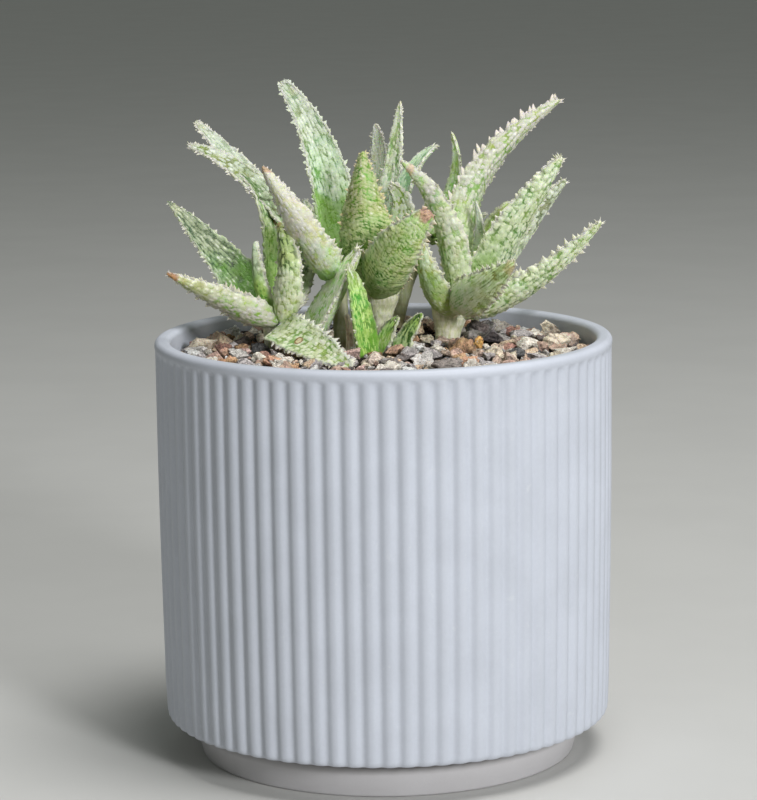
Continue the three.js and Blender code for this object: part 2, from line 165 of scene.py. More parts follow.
class Shader:
    """A node material, built up with short calls."""

    def __init__(self, name):
        self.material = bpy.data.materials.new(name)
        self.material.use_nodes = True
        self.tree = self.material.node_tree
        self.tree.nodes.clear()
        self.place = self.add("ShaderNodeTexCoord").outputs["Object"]

    def add(self, kind, inputs=(), **settings):
        """A new node of that kind. An input is a value, or a socket to link from."""
        made = self.tree.nodes.new(kind)
        for key, value in settings.items():
            setattr(made, key, value)
        for socket, value in dict(inputs).items():
            if isinstance(value, bpy.types.NodeSocket):
                self.tree.links.new(value, made.inputs[socket])
            else:
                made.inputs[socket].default_value = value
        return made

    def tones(self):
        """The four numbers that the mesh holds at each point."""
        given = self.add("ShaderNodeAttribute", attribute_name="tones")
        parts = self.add("ShaderNodeSeparateColor", {0: given.outputs["Color"]})
        return [*parts.outputs, given.outputs["Alpha"]]

    def mix(self, share, first, second):
        inputs = {0: share, 6: first, 7: second}
        return self.add("ShaderNodeMix", inputs, data_type="RGBA").outputs[2]

    def tint(self, colour, share, amount, paint):
        """The colour turned towards a paint, by that amount where the share is 1."""
        return self.mix(self.math("MULTIPLY", share, amount), colour, linear(paint))

    def spread(self, value, from_low, from_high, low=0.0, high=1.0, smooth=True):
        """The value's first range laid over the second, and clamped to it."""
        kind = "SMOOTHSTEP" if smooth else "LINEAR"
        inputs = {0: value, 1: from_low, 2: from_high, 3: low, 4: high}
        return self.add("ShaderNodeMapRange", inputs, interpolation_type=kind).outputs[0]

    def math(self, operation, first, second=0.0):
        return self.add("ShaderNodeMath", {0: first, 1: second}, operation=operation).outputs[0]

    def noise(self, size, detail=3.0, rough=0.55, stretch=None):
        """Noise with features of that size in millimetres."""
        place = self.place
        if stretch:
            place = self.add("ShaderNodeMapping", {0: place, 3: stretch}).outputs[0]
        inputs = {"Vector": place, "Scale": 1 / (size * MM), "Detail": detail, "Roughness": rough}
        return self.add("ShaderNodeTexNoise", inputs).outputs[0]

    def vary(self, colour, value, low, high, hue=None):
        """The colour made darker or lighter, and turned in hue, by noise."""
        inputs = {"Value": self.spread(value, 0.3, 0.7, low, high), "Color": colour}
        if hue:
            inputs["Hue"] = self.spread(self.noise(hue[0]), 0.3, 0.7, 0.5 - hue[1], 0.5 + hue[1])
        return self.add("ShaderNodeHueSaturation", inputs).outputs[0]

    def bump(self, height, distance, strength=1.0, normal=None):
        """Relief that deep in millimetres, on top of the relief given."""
        inputs = {"Height": height, "Distance": distance * MM, "Strength": strength}
        if normal:
            inputs["Normal"] = normal
        return self.add("ShaderNodeBump", inputs).outputs[0]

    def glow(self, weight, radius):
        """Settings for light that goes a little way into a juicy leaf or stem."""
        depth = {"Subsurface_Radius": radius, "Subsurface_Scale": GLOW_DEPTH}
        return {"Subsurface_Weight": weight, **depth}

    def finish(self, colour, roughness, normal=None, **uniform):
        """The finished material. Further settings name the shader's own sockets."""
        inputs = {"Base Color": colour, "Roughness": roughness}
        inputs.update({key.replace("_", " "): value for key, value in uniform.items()})
        if normal:
            inputs["Normal"] = normal
        surface = self.add("ShaderNodeBsdfPrincipled", inputs)
        self.add("ShaderNodeOutputMaterial", {"Surface": surface.outputs[0]})
        return self.material


def ceramic_material():
    """Matte pale glaze. The mesh gives the bare foot and a painted shade line on top of the foot, where
    the body overhangs it.
    """
    shader = Shader("ceramic")
    cloud = shader.noise(14, 4)
    grain = shader.noise(0.9, 4, 0.7)
    colour = shader.vary(linear("c1c5cf"), cloud, 0.97, 1.03)
    colour = shader.vary(colour, grain, 0.985, 1.015)
    dust = shader.spread(shader.noise(5, 5, 0.7), 0.62, 0.72)
    colour = shader.tint(colour, dust, 0.35, "d0d3d8")
    bare, under, _, _ = shader.tones()
    colour = shader.tint(colour, bare, 0.45, "c3b8ae")
    # Painted shade: the top of the foot goes near black where the body's overhang shades it.
    colour = shader.mix(under, colour, linear("3a3635"))
    roughness = shader.spread(cloud, 0.3, 0.7, 0.46, 0.58)
    normal = shader.bump(grain, 0.05, 0.6, shader.bump(cloud, 0.25, 0.5))
    return shader.finish(colour, roughness, normal, Specular_IOR_Level=0.4)


WART_BUMP = 0.16


def leaf_colours(paints):
    """The colours of the leaf paints named."""
    return [linear(LEAF_PAINTS[paint]) for paint in paints]


def scarred(shader, colour, fine, x, y, z, size):
    """The colour with one round scar: a brown ring with a pale middle."""
    ends = {0: shader.place, 1: (x * MM, y * MM, z * MM)}
    apart = shader.add("ShaderNodeVectorMath", ends, operation="DISTANCE")
    reach = shader.math("DIVIDE", apart.outputs["Value"], size * MM)
    reach = shader.math("ADD", reach, shader.spread(fine, 0.25, 0.75, -0.12, 0.12, False))
    colour = shader.mix(shader.spread(reach, 1.25, 1.0, 0, 0.9), colour, linear("8a5a30"))
    return shader.mix(shader.spread(reach, 0.9, 0.7, 0, 0.9), colour, linear("d9cda4"))


def leaf_material(name, look):
    """Raised pale warts with ragged edges on a green ground, a horny margin, a tinted base and tip, a
    painted highlight on the highest wart tops and painted shade in the creases between warts.

    The mesh gives wart height, margin, place along the leaf and tooth.
    """
    shader = Shader(name)
    wart, edge, along, tooth = shader.tones()
    broad = shader.noise(7, 2)
    patch = shader.noise(2.6, 2)
    fine = shader.noise(0.7, 3, 0.6)
    wander = shader.math("ADD", along, shader.spread(broad, 0.3, 0.7, -0.1, 0.1))
    split, soft = look["split"]
    high = shader.spread(wander, split - soft, split + soft)
    low_ground, low_pale = leaf_colours(look["low"])
    high_ground, high_pale = leaf_colours(look["high"])
    ground = shader.mix(high, low_ground, high_ground)
    pale = shader.mix(high, low_pale, high_pale)
    ground = shader.vary(ground, patch, 0.82, 1.2, (5, 0.03))
    pale = shader.vary(pale, fine, 0.94, 1.05, (5, 0.014))
    pale = shader.mix(shader.spread(patch, 0.45, 0.7, 0, 0.35), pale, ground)
    ragged = shader.math("ADD", wart, shader.spread(fine, 0.25, 0.75, -0.2, 0.2, False))
    bare = shader.spread(shader.noise(3.0, 4), 0.35, 0.65, -0.14, look["bare"])
    ragged = shader.math("SUBTRACT", ragged, bare)
    mask = shader.spread(ragged, -0.05, 0.6)
    colour = shader.mix(mask, ground, pale)
    # Painted highlight: the highest wart tops go near white, in patches.
    painted_light_amount = shader.spread(patch, 0.6, 0.4, 0.1, 0.6)
    top = shader.math("MULTIPLY", shader.spread(ragged, 0.75, 1.1), painted_light_amount)
    colour = shader.mix(top, colour, linear("f1f2e6"))
    # Painted shade: the ground goes darker in the creases between the warts.
    crack = shader.spread(ragged, 0.06, -0.14, 0, look["crack"][0])
    colour = shader.mix(crack, colour, linear(look["crack"][1]))
    blush = shader.spread(shader.noise(3.2, 2), 0.5, 0.72)
    colour = shader.tint(colour, blush, *look["blush"])
    colour = shader.tint(colour, edge, 0.7, look["margin"])
    until, paint, amount = look["root_tint"]
    base = shader.spread(wander, until, until - 0.16)
    colour = shader.tint(colour, base, amount, paint)
    begin, paint, amount = look["tip_tint"]
    tip = shader.spread(wander, begin, 1.0)
    dry = shader.vary(linear(paint), fine, 0.6, 1.3)
    colour = shader.mix(shader.math("MULTIPLY", tip, amount), colour, dry)
    colour = shader.mix(tooth, colour, linear(look["tooth"]))
    if "scar" in look:
        colour = scarred(shader, colour, fine, *look["scar"])
    roughness = shader.spread(mask, 0, 1, 0.4, 0.55)
    normal = shader.bump(fine, 0.12, 0.7, shader.bump(mask, WART_BUMP, 0.9))
    glow = shader.glow(0.35, (1.0, 1.3, 0.45))
    return shader.finish(colour, roughness, normal, Specular_IOR_Level=0.45, **glow)


def stem_material():
    """Fibrous, pale olive, darker in the leaf scars. The mesh gives scar, shade and height."""
    shader = Shader("stem")
    scar, shade, up, _ = shader.tones()
    fibre = shader.noise(0.8, 4, 0.6, (1, 1, 0.14))
    blotch = shader.noise(3.5, 3)
    colour = shader.mix(shader.spread(fibre, 0.35, 0.65), linear("d6dbab"), linear("f8f5de"))
    # Painted shade: stems that sit in the leaves' shade are turned dark olive.
    colour = shader.mix(shade, colour, linear("5b5f2c"))
    colour = shader.vary(colour, blotch, 0.85, 1.12, (6, 0.02))
    colour = shader.tint(colour, scar, 0.6, "8d7a50")
    foot = shader.spread(up, 0.42, 0.2)
    colour = shader.tint(colour, foot, 0.4, "9b8560")
    normal = shader.bump(fibre, 0.3, 0.8)
    return shader.finish(colour, 0.6, normal, **shader.glow(0.3, (1.2, 1.2, 0.6)))


def stone_material(name, pores, speck, roughness):
    """Chipped stone. The mesh gives each stone's colour, and a tone that paints shade into its hollows
    and light onto its raised crumbs; pores and specks come from noise.
    """
    shader = Shader(name)
    given = shader.add("ShaderNodeAttribute", attribute_name="tones")
    cloud = shader.noise(1.9, 6, 0.7)
    grain = shader.noise(0.6, 4, 0.75)
    colour = shader.vary(given.outputs["Color"], cloud, 0.8, 1.6, (2.5, 0.012))
    colour = shader.vary(colour, grain, 0.6, 1.45)
    # Painted shade and light: darker in each stone's hollows, lighter on its raised crumbs.
    painted_light_amount = shader.spread(given.outputs["Alpha"], 0.1, 0.65, 0.6, 1.2)
    colour = shader.add("ShaderNodeHueSaturation", {"Value": painted_light_amount, "Color": colour}).outputs[0]
    flecks = shader.spread(shader.noise(0.9, 2), 0.6, 0.66)
    colour = shader.tint(colour, flecks, 0.55, speck)
    holes = shader.add("ShaderNodeTexVoronoi", {"Vector": shader.place, "Scale": 1 / (0.9 * MM)})
    pit = shader.spread(holes.outputs["Distance"], 0.05, 0.35)
    colour = shader.mix(shader.spread(pit, 0, 1, 0.35 * pores, 0), colour, linear("3a2f29"))
    rough = shader.bump(cloud, 1.6, 1.0, shader.bump(grain, 0.9, 1.0))
    normal = shader.bump(pit, 0.5 * pores, 0.9, rough)
    return shader.finish(colour, roughness, normal)


def soil_material():
    """Dark, damp crumbs with a few brown fibres."""
    shader = Shader("soil")
    crumb = shader.noise(1.6, 5, 0.7)
    grain = shader.noise(0.5, 4, 0.7)
    colour = shader.mix(shader.spread(crumb, 0.35, 0.65), linear("0d0907"), linear("33251b"))
    colour = shader.vary(colour, grain, 0.6, 1.3)
    fibre = shader.spread(shader.noise(1.2, 2, 0.5, (1, 0.25, 1)), 0.64, 0.7)
    colour = shader.tint(colour, fibre, 0.5, "7a5a3c")
    normal = shader.bump(crumb, 1.2, 0.9, shader.bump(grain, 0.3, 0.9))
    return shader.finish(colour, 0.95, normal)


def floor_material():
    """Plain pale studio floor."""
    shader = Shader("floor")
    cloud = shader.noise(60, 3)
    colour = shader.vary(linear("c9c8c5"), cloud, 0.985, 1.015)
    return shader.finish(colour, 0.8)


# -------------------- pot

# Millimetres. The rim band is the smooth ring over the ribs.
RIM_RADIUS = 63.5
POT_HEIGHT = 117
RIM_BAND = 2.6
WALL = 4.5
FOOT_HEIGHT = 10.5
FOOT_RADIUS = 52.6
FOOT_FLARE = 2.4
FOOT_RING = 7
FOOT_RECESS = 1.5
FOOT_EDGE = 0.8
SHOULDER = 1.9
LIP = 1.5
RIB_COUNT = 80
RIB_DEPTH = 0.78
RIB_TURN = math.radians(0.5)
RIB_CREST = 63.2
RIB_TAPER = 1.0
RIB_FADE = 1.6
COLUMNS_PER_RIB = 10


def arc(centre, radii, start, end, steps):
    """Points of an arc, as radius and height, with angles in degrees from outwards."""
    angles = np.radians(np.linspace(start, end, steps))
    return [(centre[0] + radii[0] * math.cos(a), centre[1] + radii[1] * math.sin(a)) for a in angles]


def pot_profile():
    """Radius, height and share of the rib depth, from the middle of the underside outwards."""
    ring = FOOT_RADIUS - FOOT_RING
    foot_top = FOOT_RADIUS + FOOT_FLARE
    band = POT_HEIGHT - RIM_BAND
    inner = RIM_RADIUS - WALL
    crest_low = RIB_CREST - RIB_TAPER
    shoulder = (crest_low - SHOULDER, FOOT_HEIGHT + SHOULDER)
    profile = [(0.01, FOOT_RECESS, 0), (ring - 1, FOOT_RECESS, 0), (ring, FOOT_RECESS - 0.3, 0)]
    profile += [(ring + 0.8, 0.15, 0), (ring + 1.4, 0, 0), (FOOT_RADIUS - 0.9, 0, 0)]
    edge = arc((FOOT_RADIUS - FOOT_EDGE, FOOT_EDGE), (FOOT_EDGE, FOOT_EDGE), -60, 0, 4)
    profile += [(radius, height, 0) for radius, height in edge]
    for share in (0.3, 0.6, 0.8, 0.88, 0.95):
        profile.append((FOOT_RADIUS + FOOT_FLARE * share, FOOT_EDGE + share * (FOOT_HEIGHT - 1.2), 0))
    profile += [(foot_top + 0.1, FOOT_HEIGHT + 0.1, 0), (foot_top + 0.8, FOOT_HEIGHT + 0.4, 0)]
    profile.append((shoulder[0] - 2, FOOT_HEIGHT + 0.4, 0))
    profile.append((shoulder[0] - 0.4, FOOT_HEIGHT + 0.1, 0.5))
    for radius, height in arc(shoulder, (SHOULDER, SHOULDER), -80, 0, 8):
        profile.append((radius, height, min(1, 0.8 + 0.2 * (height - FOOT_HEIGHT))))
    low, high = shoulder[1], band - RIB_FADE
    for share in np.linspace(0.08, 1, 10):
        widening = RIB_TAPER * smoothstep(-0.3, 0.75, share)
        profile.append((crest_low + widening, low + share * (high - low), 1))
    for share in np.linspace(0.2, 1, 6):
        profile.append((RIB_CREST + 0.05 * share, high + RIB_FADE * share, 1 - share**1.8))
    profile += [(RIB_CREST + 0.12, band + 0.25, 0), (RIM_RADIUS - 0.12, band + 0.6, 0)]
    outer_lip = arc((RIM_RADIUS - 0.1 - LIP, POT_HEIGHT - LIP), (LIP, LIP), 0, 90, 7)
    inner_lip = arc((inner + LIP, POT_HEIGHT - LIP), (LIP, LIP), 90, 165, 6)
    profile += [(radius, height, 0) for radius, height in outer_lip + inner_lip]
    profile += [(inner, POT_HEIGHT - LIP, 0), (inner, POT_HEIGHT - 8, 0), (inner, 100, 0)]
    profile.append((inner - 6, 97, 0))
    return np.array(profile).T


def pot_patch():
    """The fluted wall with its rim and foot, turned round from the profile."""
    radii, heights, shares = pot_profile()
    columns = RIB_COUNT * COLUMNS_PER_RIB
    angle = TURN * np.arange(columns) / columns
    wave = 0.5 - 0.5 * np.cos(RIB_COUNT * angle)
    groove = wave**1.6
    radius = radii[:, None] - RIB_DEPTH * shares[:, None] * groove
    height = np.broadcast_to(heights[:, None], radius.shape)
    angle = angle + RIB_TURN
    points = np.stack([radius * np.cos(angle), radius * np.sin(angle), height], -1).reshape(-1, 3)
    bare = (heights < FOOT_HEIGHT) & (radii > FOOT_RADIUS - FOOT_RING)
    low_down = (shares == 0) & (heights < 2 * FOOT_HEIGHT)
    # Painted shade on the top of the foot, just under the body, where the overhang shades it.
    painted_shade = smoothstep(FOOT_HEIGHT - 3.4, FOOT_HEIGHT - 1.0, heights) * low_down
    tones = np.zeros((len(points), 4))
    tones[:, 0] = np.repeat(bare, columns)
    tones[:, 1] = np.repeat(painted_shade, columns)
    return Patch(points, [grid_faces(len(radii), columns)], tones)


def glaze_speck():
    """The one small flaw in the glaze, a raised fleck on the front of the wall."""
    ball = sphere(2)
    place = np.array([9.4, -62.0, 102.4])
    points = ball.points * (0.62, 0.3, 0.34) + place
    return Patch(points, ball.faces, (0, 0, 0, 0))


# -------------------- stones and soil

SOIL_TOP = 111.8
MOUND_HEIGHT = 2.6
MOUND_AT = (3, 24)
MOUND_SPREAD = 17
SOIL_REACH = RIM_RADIUS - WALL - 0.6

spheres = {}


def sphere(level):
    """A unit ball of triangles, as fine as the level says."""
    if level not in spheres:
        made = bmesh.new()
        bmesh.ops.create_icosphere(made, subdivisions=level, radius=1)
        points = np.array([vertex.co for vertex in made.verts])
        faces = np.array([[vertex.index for vertex in face.verts] for face in made.faces])
        made.free()
        spheres[level] = Patch(points, [faces], (0, 0, 0, 0))
    return spheres[level]


def soil_height(x, y):
    """Height of the even soil under its crumbs, with the mound between the stems."""
    distance = np.hypot(x - MOUND_AT[0], y - MOUND_AT[1])
    mound = MOUND_HEIGHT * np.exp(-((distance / MOUND_SPREAD) ** 2))
    return SOIL_TOP + mound + 0.5 * np.sin(x * 0.31 + 1) * np.cos(y * 0.27)


def soil_patch():
    """The crumbled surface of the soil, with a skirt that goes down along the wall."""
    rings, columns = 66, 200
    reach = np.linspace(0.3, SOIL_REACH, rings)[:, None]
    angle = TURN * np.arange(columns)[None] / columns
    x, y = (reach * np.cos(angle)).ravel(), (reach * np.sin(angle)).ravel()
    flat = np.stack([x, y, 0 * x], -1)
    height = soil_height(x, y) - 0.9
    for size, depth in ((6, 0.9), (2.6, 0.8), (1.3, 0.6)):
        height += depth * noise(flat, size, 5)
    top = np.stack([x, y, height], -1)
    skirt = top[-columns:] * (1, 1, 0) + (0, 0, 100)
    points = np.concatenate([top, skirt])
    return Patch(points, [grid_faces(rings + 1, columns)], (0, 0, 0, 0))


def stone_patch(centre, size, paint, seed, level, tilt=1.0):
    """A chipped stone: a ball cut by flat faces, crumbled, stretched and turned."""
    random = np.random.default_rng(seed)
    ball = sphere(level)
    points = ball.points.copy()
    for _ in range(9):
        normal = unit(random.normal(size=3))
        depth = random.uniform(0.35, 0.75)
        beyond = np.maximum(0, points @ normal - depth)
        points -= beyond[:, None] * normal
    coarse = noise(points + 9, 0.5, seed)
    crumb = noise(points + 5, 0.24, seed + 1)
    grain = noise(points + 3, 0.12, seed + 2)
    points *= (1 + 0.13 * coarse + 0.17 * crumb + 0.1 * grain * (level > 2))[:, None]
    points /= np.abs(points).max(0)
    points *= np.array(size) / 2
    spin = Matrix.Rotation(random.uniform(0, TURN), 3, "Z")
    lean = Matrix.Rotation(tilt * random.uniform(-0.9, 0.9), 3, Vector(unit(random.normal(size=3))))
    points = points @ np.array(lean @ spin).T + centre
    tones = np.empty((len(points), 4))
    tones[:, :3] = linear(STONE_PAINTS[paint])[:3]
    # Painted shade: the tone follows the crumbled relief, low in hollows and high on raised crumbs.
    tones[:, 3] = 0.5 + 0.35 * crumb + 0.25 * coarse
    return Patch(points, ball.faces, tones)


# Paints of the stones and of the crumbs of soil.
STONE_PAINTS = {
    "white": "f2f0ec",
    "cream": "f0e6d8",
    "butter": "f0e0c8",
    "linen": "e2d0c0",
    "peach": "e8ccb0",
    "apricot": "e4b494",
    "amber": "f0b870",
    "honey": "d0a884",
    "sand": "dcc2b0",
    "rose": "d8b8ae",
    "tan": "d0b09e",
    "clay": "cca48c",
    "brick": "bc9080",
    "mist": "d6d0ca",
    "grey": "c6bebc",
    "dove": "b8b0ae",
    "pewter": "988e88",
    "charcoal": "887c78",
    "coal": "787274",
    "slate": "686868",
    "cork": "b08a68",
    "wood": "8a6048",
    "root": "4a3628",
    "loam": "3a2a20",
    "peat": "2b1f18",
    "soot": "1f1814",
}

# Kinds of grit. A paint named twice is laid twice as often.
Grit = namedtuple("Grit", "share paints pores fleck roughness slot")
GRIT = {
    "grit_grey": Grit(0.3, ["grey", "dove", "mist", "grey"], 0.6, "f0e8e8", 0.9, "grey_rock"),
    "grit_tan": Grit(0.36, ["sand", "peach", "tan", "butter"], 0.6, "f0e8e0", 0.9, "pale_rock"),
    "grit_red": Grit(0.08, ["tan", "brick", "rose", "tan"], 1.0, "e0c0b8", 0.93, "red_rock"),
    "grit_dark": Grit(0.07, ["charcoal", "slate", "pewter"], 1.0, "989090", 0.92, "dark_rock"),
    "grit_pale": Grit(0.18, ["cream", "white", "cream"], 0.7, "f8f8f0", 0.9, "pale_rock"),
    "grit_bark": Grit(0.04, ["honey", "honey", "cork"], 0.4, "e8c090", 0.88, "bark"),
}

# The stones that stand out by themselves: CAD node, middle, size, paint, kind.
NAMED_STONES = {
    "front_stone": ([-2.5, -16.5, 112.8], [10.5, 8.5, 5], "linen", "grit_grey"),
    "grey_stone": ([13, -12.5, 113.2], [10.5, 7.5, 5.4], "grey", "grit_grey"),
    "red_stone": ([3.5, -10, 114], [5.4, 5.2, 5], "clay", "grit_red"),
    "dark_stone": ([30.5, 12, 114.2], [7.5, 6.2, 6], "coal", "grit_dark"),
    "black_stone": ([27.5, 25.5, 114.3], [8, 6.5, 6], "charcoal", "grit_dark"),
    "amber_stone": ([26.5, 5, 113.8], [3.6, 4.5, 4.8], "amber", "grit_tan"),
    "pale_stone": ([49, 5, 113.6], [10.5, 6.8, 5], "butter", "grit_tan"),
    "cream_stone": ([47.5, 25, 114.6], [5.4, 6, 6], "butter", "grit_pale"),
    "orange_chip": ([-29, -21.5, 113.4], [9, 6.5, 4], "apricot", "grit_bark"),
}

# Further stones seen one by one: middle x and y, size across, deep and high, paint, kind.
SEEN_STONES = [
    [9, -2.5, 4.6, 4.5, 4.4, "white", "grit_pale"],
    [14.5, 3, 5, 4, 4, "cream", "grit_pale"],
    [20, -8, 6.5, 5, 4, "tan", "grit_red"],
    [22, -23.5, 9, 5, 4.2, "apricot", "grit_bark"],
    [20, 4, 6, 5, 4.6, "tan", "grit_red"],
    [17, 11, 5, 5, 4, "sand", "grit_tan"],
    [38.5, 14, 6, 5, 4.6, "sand", "grit_tan"],
    [35, 3, 5.5, 5, 4.4, "brick", "grit_red"],
    [41, -6.5, 8, 5, 3.6, "peach", "grit_tan"],
    [34, -15, 8, 6, 3.8, "butter", "grit_tan"],
    [30, -6, 5, 5, 4, "white", "grit_pale"],
    [44.5, 15, 5.4, 5, 4.4, "charcoal", "grit_dark"],
    [53.5, 16, 5, 5, 4, "peach", "grit_tan"],
    [-40, -7, 7, 6, 4.8, "mist", "grit_grey"],
    [-34, -13.5, 6.5, 5.5, 4.4, "cream", "grit_grey"],
    [-44.5, 2, 6, 6, 5.2, "brick", "grit_red"],
    [-42.5, -4.5, 5.5, 4.5, 5, "clay", "grit_red"],
    [-53.5, 3.5, 7.5, 6, 4.4, "mist", "grit_grey"],
    [-44, 34, 6.5, 6, 7, "white", "grit_pale"],
    [-33.5, 15.5, 6, 3.5, 4.5, "wood", "grit_bark"],
    [-36.5, 9, 5, 3, 4, "wood", "grit_bark"],
    [-18, -4, 5.5, 5, 5, "butter", "grit_tan"],
    [-12, -6.5, 5, 5, 4, "cream", "grit_pale"],
    [-20, -25, 6, 5, 3.4, "peach", "grit_tan"],
    [-12, -29.5, 6, 5, 3.2, "sand", "grit_grey"],
    [5, -27.5, 7, 5, 3.2, "mist", "grit_grey"],
    [13, -26.5, 7, 5, 3.2, "cream", "grit_grey"],
]
# Seeded stones: how many, least and most size across, and how fine the mesh is in front.
SEEDED_STONES = [(200, 5.2, 9.4, 4), (400, 2.0, 4.2, 3)]
FINENESS_BEHIND = 3
CRUMBS = 130
CRUMB_REACH = 17
CRUMB_PAINTS = ["peat", "loam", "soot", "root"]
BARE_MOUND = 13

# Where a stem or a pup leaf comes out of the soil: x, y and the reach kept free.
FEET = [(x, y, 3.2) for x, y in ((-30, 7), (-11.5, 6), (-1, 18), (3, 28), (18.5, 17))]
FEET += [(-4, -5, 2.0), (3, 0, 1.5), (-8.5, 2, 1.5)]


def crumb_patches(random):
    """Crumbs of dark soil on the mound between the stems."""
    crumbs = []
    for index in range(CRUMBS):
        angle, reach = TURN * random.random(), CRUMB_REACH * math.sqrt(random.random())
        x, y = MOUND_AT[0] + reach * math.cos(angle), MOUND_AT[1] + reach * math.sin(angle)
        across = random.uniform(1.2, 3.4)
        size = across * np.array([1, random.uniform(0.4, 0.8), random.uniform(0.35, 0.7)])
        paint = random.choice(CRUMB_PAINTS)
        crumbs.append(stone_patch(sunk_place(x, y, size), size, paint, 900 + index, 1))
    return crumbs


def sunk_place(x, y, size):
    """The middle of a stone that lies a little way into the soil."""
    return np.array([x, y, soil_height(x, y) + 0.16 * size[2]])


def grit_patches():
    """Every stone, by kind: those seen one by one, then seeded ones that fill the gaps."""
    random = np.random.default_rng(23)
    patches = {kind: [] for kind in GRIT}
    taken = list(FEET)
    kinds = list(GRIT)
    weights = np.array([GRIT[kind].share for kind in kinds])

    def lay(x, y, size, paint, kind, level, seed):
        patches[kind].append(stone_patch(sunk_place(x, y, size), size, paint, seed, level))
        claim(x, y, size)

    def claim(x, y, size):
        taken.append((x, y, 0.36 * (size[0] + size[1]) / 2))

    for centre, size, _, _ in NAMED_STONES.values():
        claim(centre[0], centre[1], size)
    for index, (x, y, across, deep, high, paint, kind) in enumerate(SEEN_STONES):
        lay(x, y, (across, deep, high), paint, kind, 4, 500 + index)
    for count, least, most, level in SEEDED_STONES:
        made = tries = 0
        while made < count and tries < 40 * count:
            tries += 1
            across = least + (most - least) * random.random() ** 1.5
            reach = (SOIL_REACH - 0.55 * across) * math.sqrt(random.random())
            angle = TURN * random.random()
            x, y = reach * math.cos(angle), reach * math.sin(angle)
            mine = 0.34 * across
            if any((x - a) ** 2 + (y - b) ** 2 < (mine + r) ** 2 for a, b, r in taken):
                continue
            kind = random.choice(kinds, p=weights / weights.sum())
            near_mound = math.hypot(x - MOUND_AT[0], y - MOUND_AT[1]) < BARE_MOUND
            if near_mound and random.random() < 0.8:
                continue
            size = across * np.array([1, random.uniform(0.65, 0.95), random.uniform(0.5, 0.8)])
            paint = random.choice(GRIT[kind].paints)
            fineness = level if y < 0 else FINENESS_BEHIND
            lay(x, y, size, paint, kind, fineness, int(random.integers(1 << 30)))
            made += 1
    patches["grit_bark"] += crumb_patches(random)
    return patches


# -------------------- stems

STEMS = {
    # Foot, crown, radius, lean, how much painted shade darkens it, and how far it flares into its leaves.
    "left_stem": ([-30.5, 7, 105.5], [-30, 5, 122], 2.6, [0, 1, 0], 0.0, 0.4),
    "rear_left_stem": ([-11.8, 6, 105.5], [-12, 13, 134.5], 1.8, [0, -1, 0], 0.6, 0.3),
    "centre_stem": ([-1.2, 18, 105.5], [-0.2, 17, 131], 2.3, [0, 0, 0], 0.0, 1.7),
    "rear_centre_stem": ([1.5, 28, 105.5], [12.5, 34, 142], 2, [-2.5, 0, 0], 0.75, 0.2),
    "right_stem": ([18, 17, 105.5], [19.8, 18, 125.5], 3.1, [-1, 0, 0], 0.0, 1.1),
}


def bezier(root, control, tip, t):
    """Points and tangents of a curve with one control point."""
    t = t[:, None]
    point = (1 - t) ** 2 * root + 2 * t * (1 - t) * control + t**2 * tip
    tangent = 2 * (1 - t) * (control - root) + 2 * t * (tip - control)
    return point, unit(tangent)


def stem_patch(foot, crown, radius, lean, dark, flare, seed):
    """A bent stem with ringed leaf scars, fibres, a swollen foot and a flared crown."""
    foot, crown, lean = (np.array(v, float) for v in (foot, crown, lean))
    rows, columns = 90, 40
    t = np.linspace(0, 1, rows)
    centre, tangent = bezier(foot, (foot + crown) / 2 + lean, crown, t)
    side = unit(np.cross([0.0, 1.0, 0.0], tangent))
    front = np.cross(tangent, side)
    angle = TURN * np.arange(columns) / columns
    length = np.linalg.norm(crown - foot)
    ring = t * length / 2.9 + 0.35 * np.sin(9 * t + seed)
    saw = (ring[:, None] + 0.3 * np.sin(angle + 2.4 * np.floor(ring)[:, None])) % 1
    scar = np.exp(-((saw - 0.5) ** 2) / 0.006) * (0.3 + 0.7 * hashed(np.floor(ring), seed))[:, None]
    scar = scar * (1 - smoothstep(0.35, 0.6, t))[:, None] * (0.3 + 0.7 * dark)
    swell = 1 + 0.35 * (1 - t) ** 2 + flare * smoothstep(0.35, 1.0, t)
    dome = np.sqrt(np.clip(1 - ((t - 0.94) / 0.0601).clip(0, 1) ** 2, 0, 1))
    ribs = 0.035 * np.cos(5 * angle + seed) * smoothstep(0.3, 0.9, t)[:, None]
    reach = radius * swell[:, None] * (1 + 0.03 * (saw - 0.5) + ribs) - 0.12 * scar
    reach = reach * dome[:, None]
    points = centre[:, None] + reach[..., None] * (
        side[:, None] * np.cos(angle)[None, :, None] + front[:, None] * np.sin(angle)[None, :, None]
    )
    points = points.reshape(-1, 3)
    away = unit(points - np.repeat(centre, columns, axis=0) + 1e-9)
    points += 0.16 * noise(points * (1, 1, 0.25), 0.9, seed)[:, None] * away
    tones = np.zeros((len(points), 4))
    tones[:, 0] = scar.ravel()
    # Painted shade: the rear stems are darkened as if in the leaves' shade.
    tones[:, 1] = dark
    tones[:, 2] = np.repeat(t, columns)
    return Patch(points, [grid_faces(rows, columns)], tones)


# -------------------- leaves

WIDEST_AT = 0.2
ROUNDED_FROM = 0.965
CHANNEL_SHARE = 0.14
KEEL_SHARE = 0.62
KEEL_LEAST = 0.35
MARGIN_THICKNESS = 0.7
GRID = 0.37

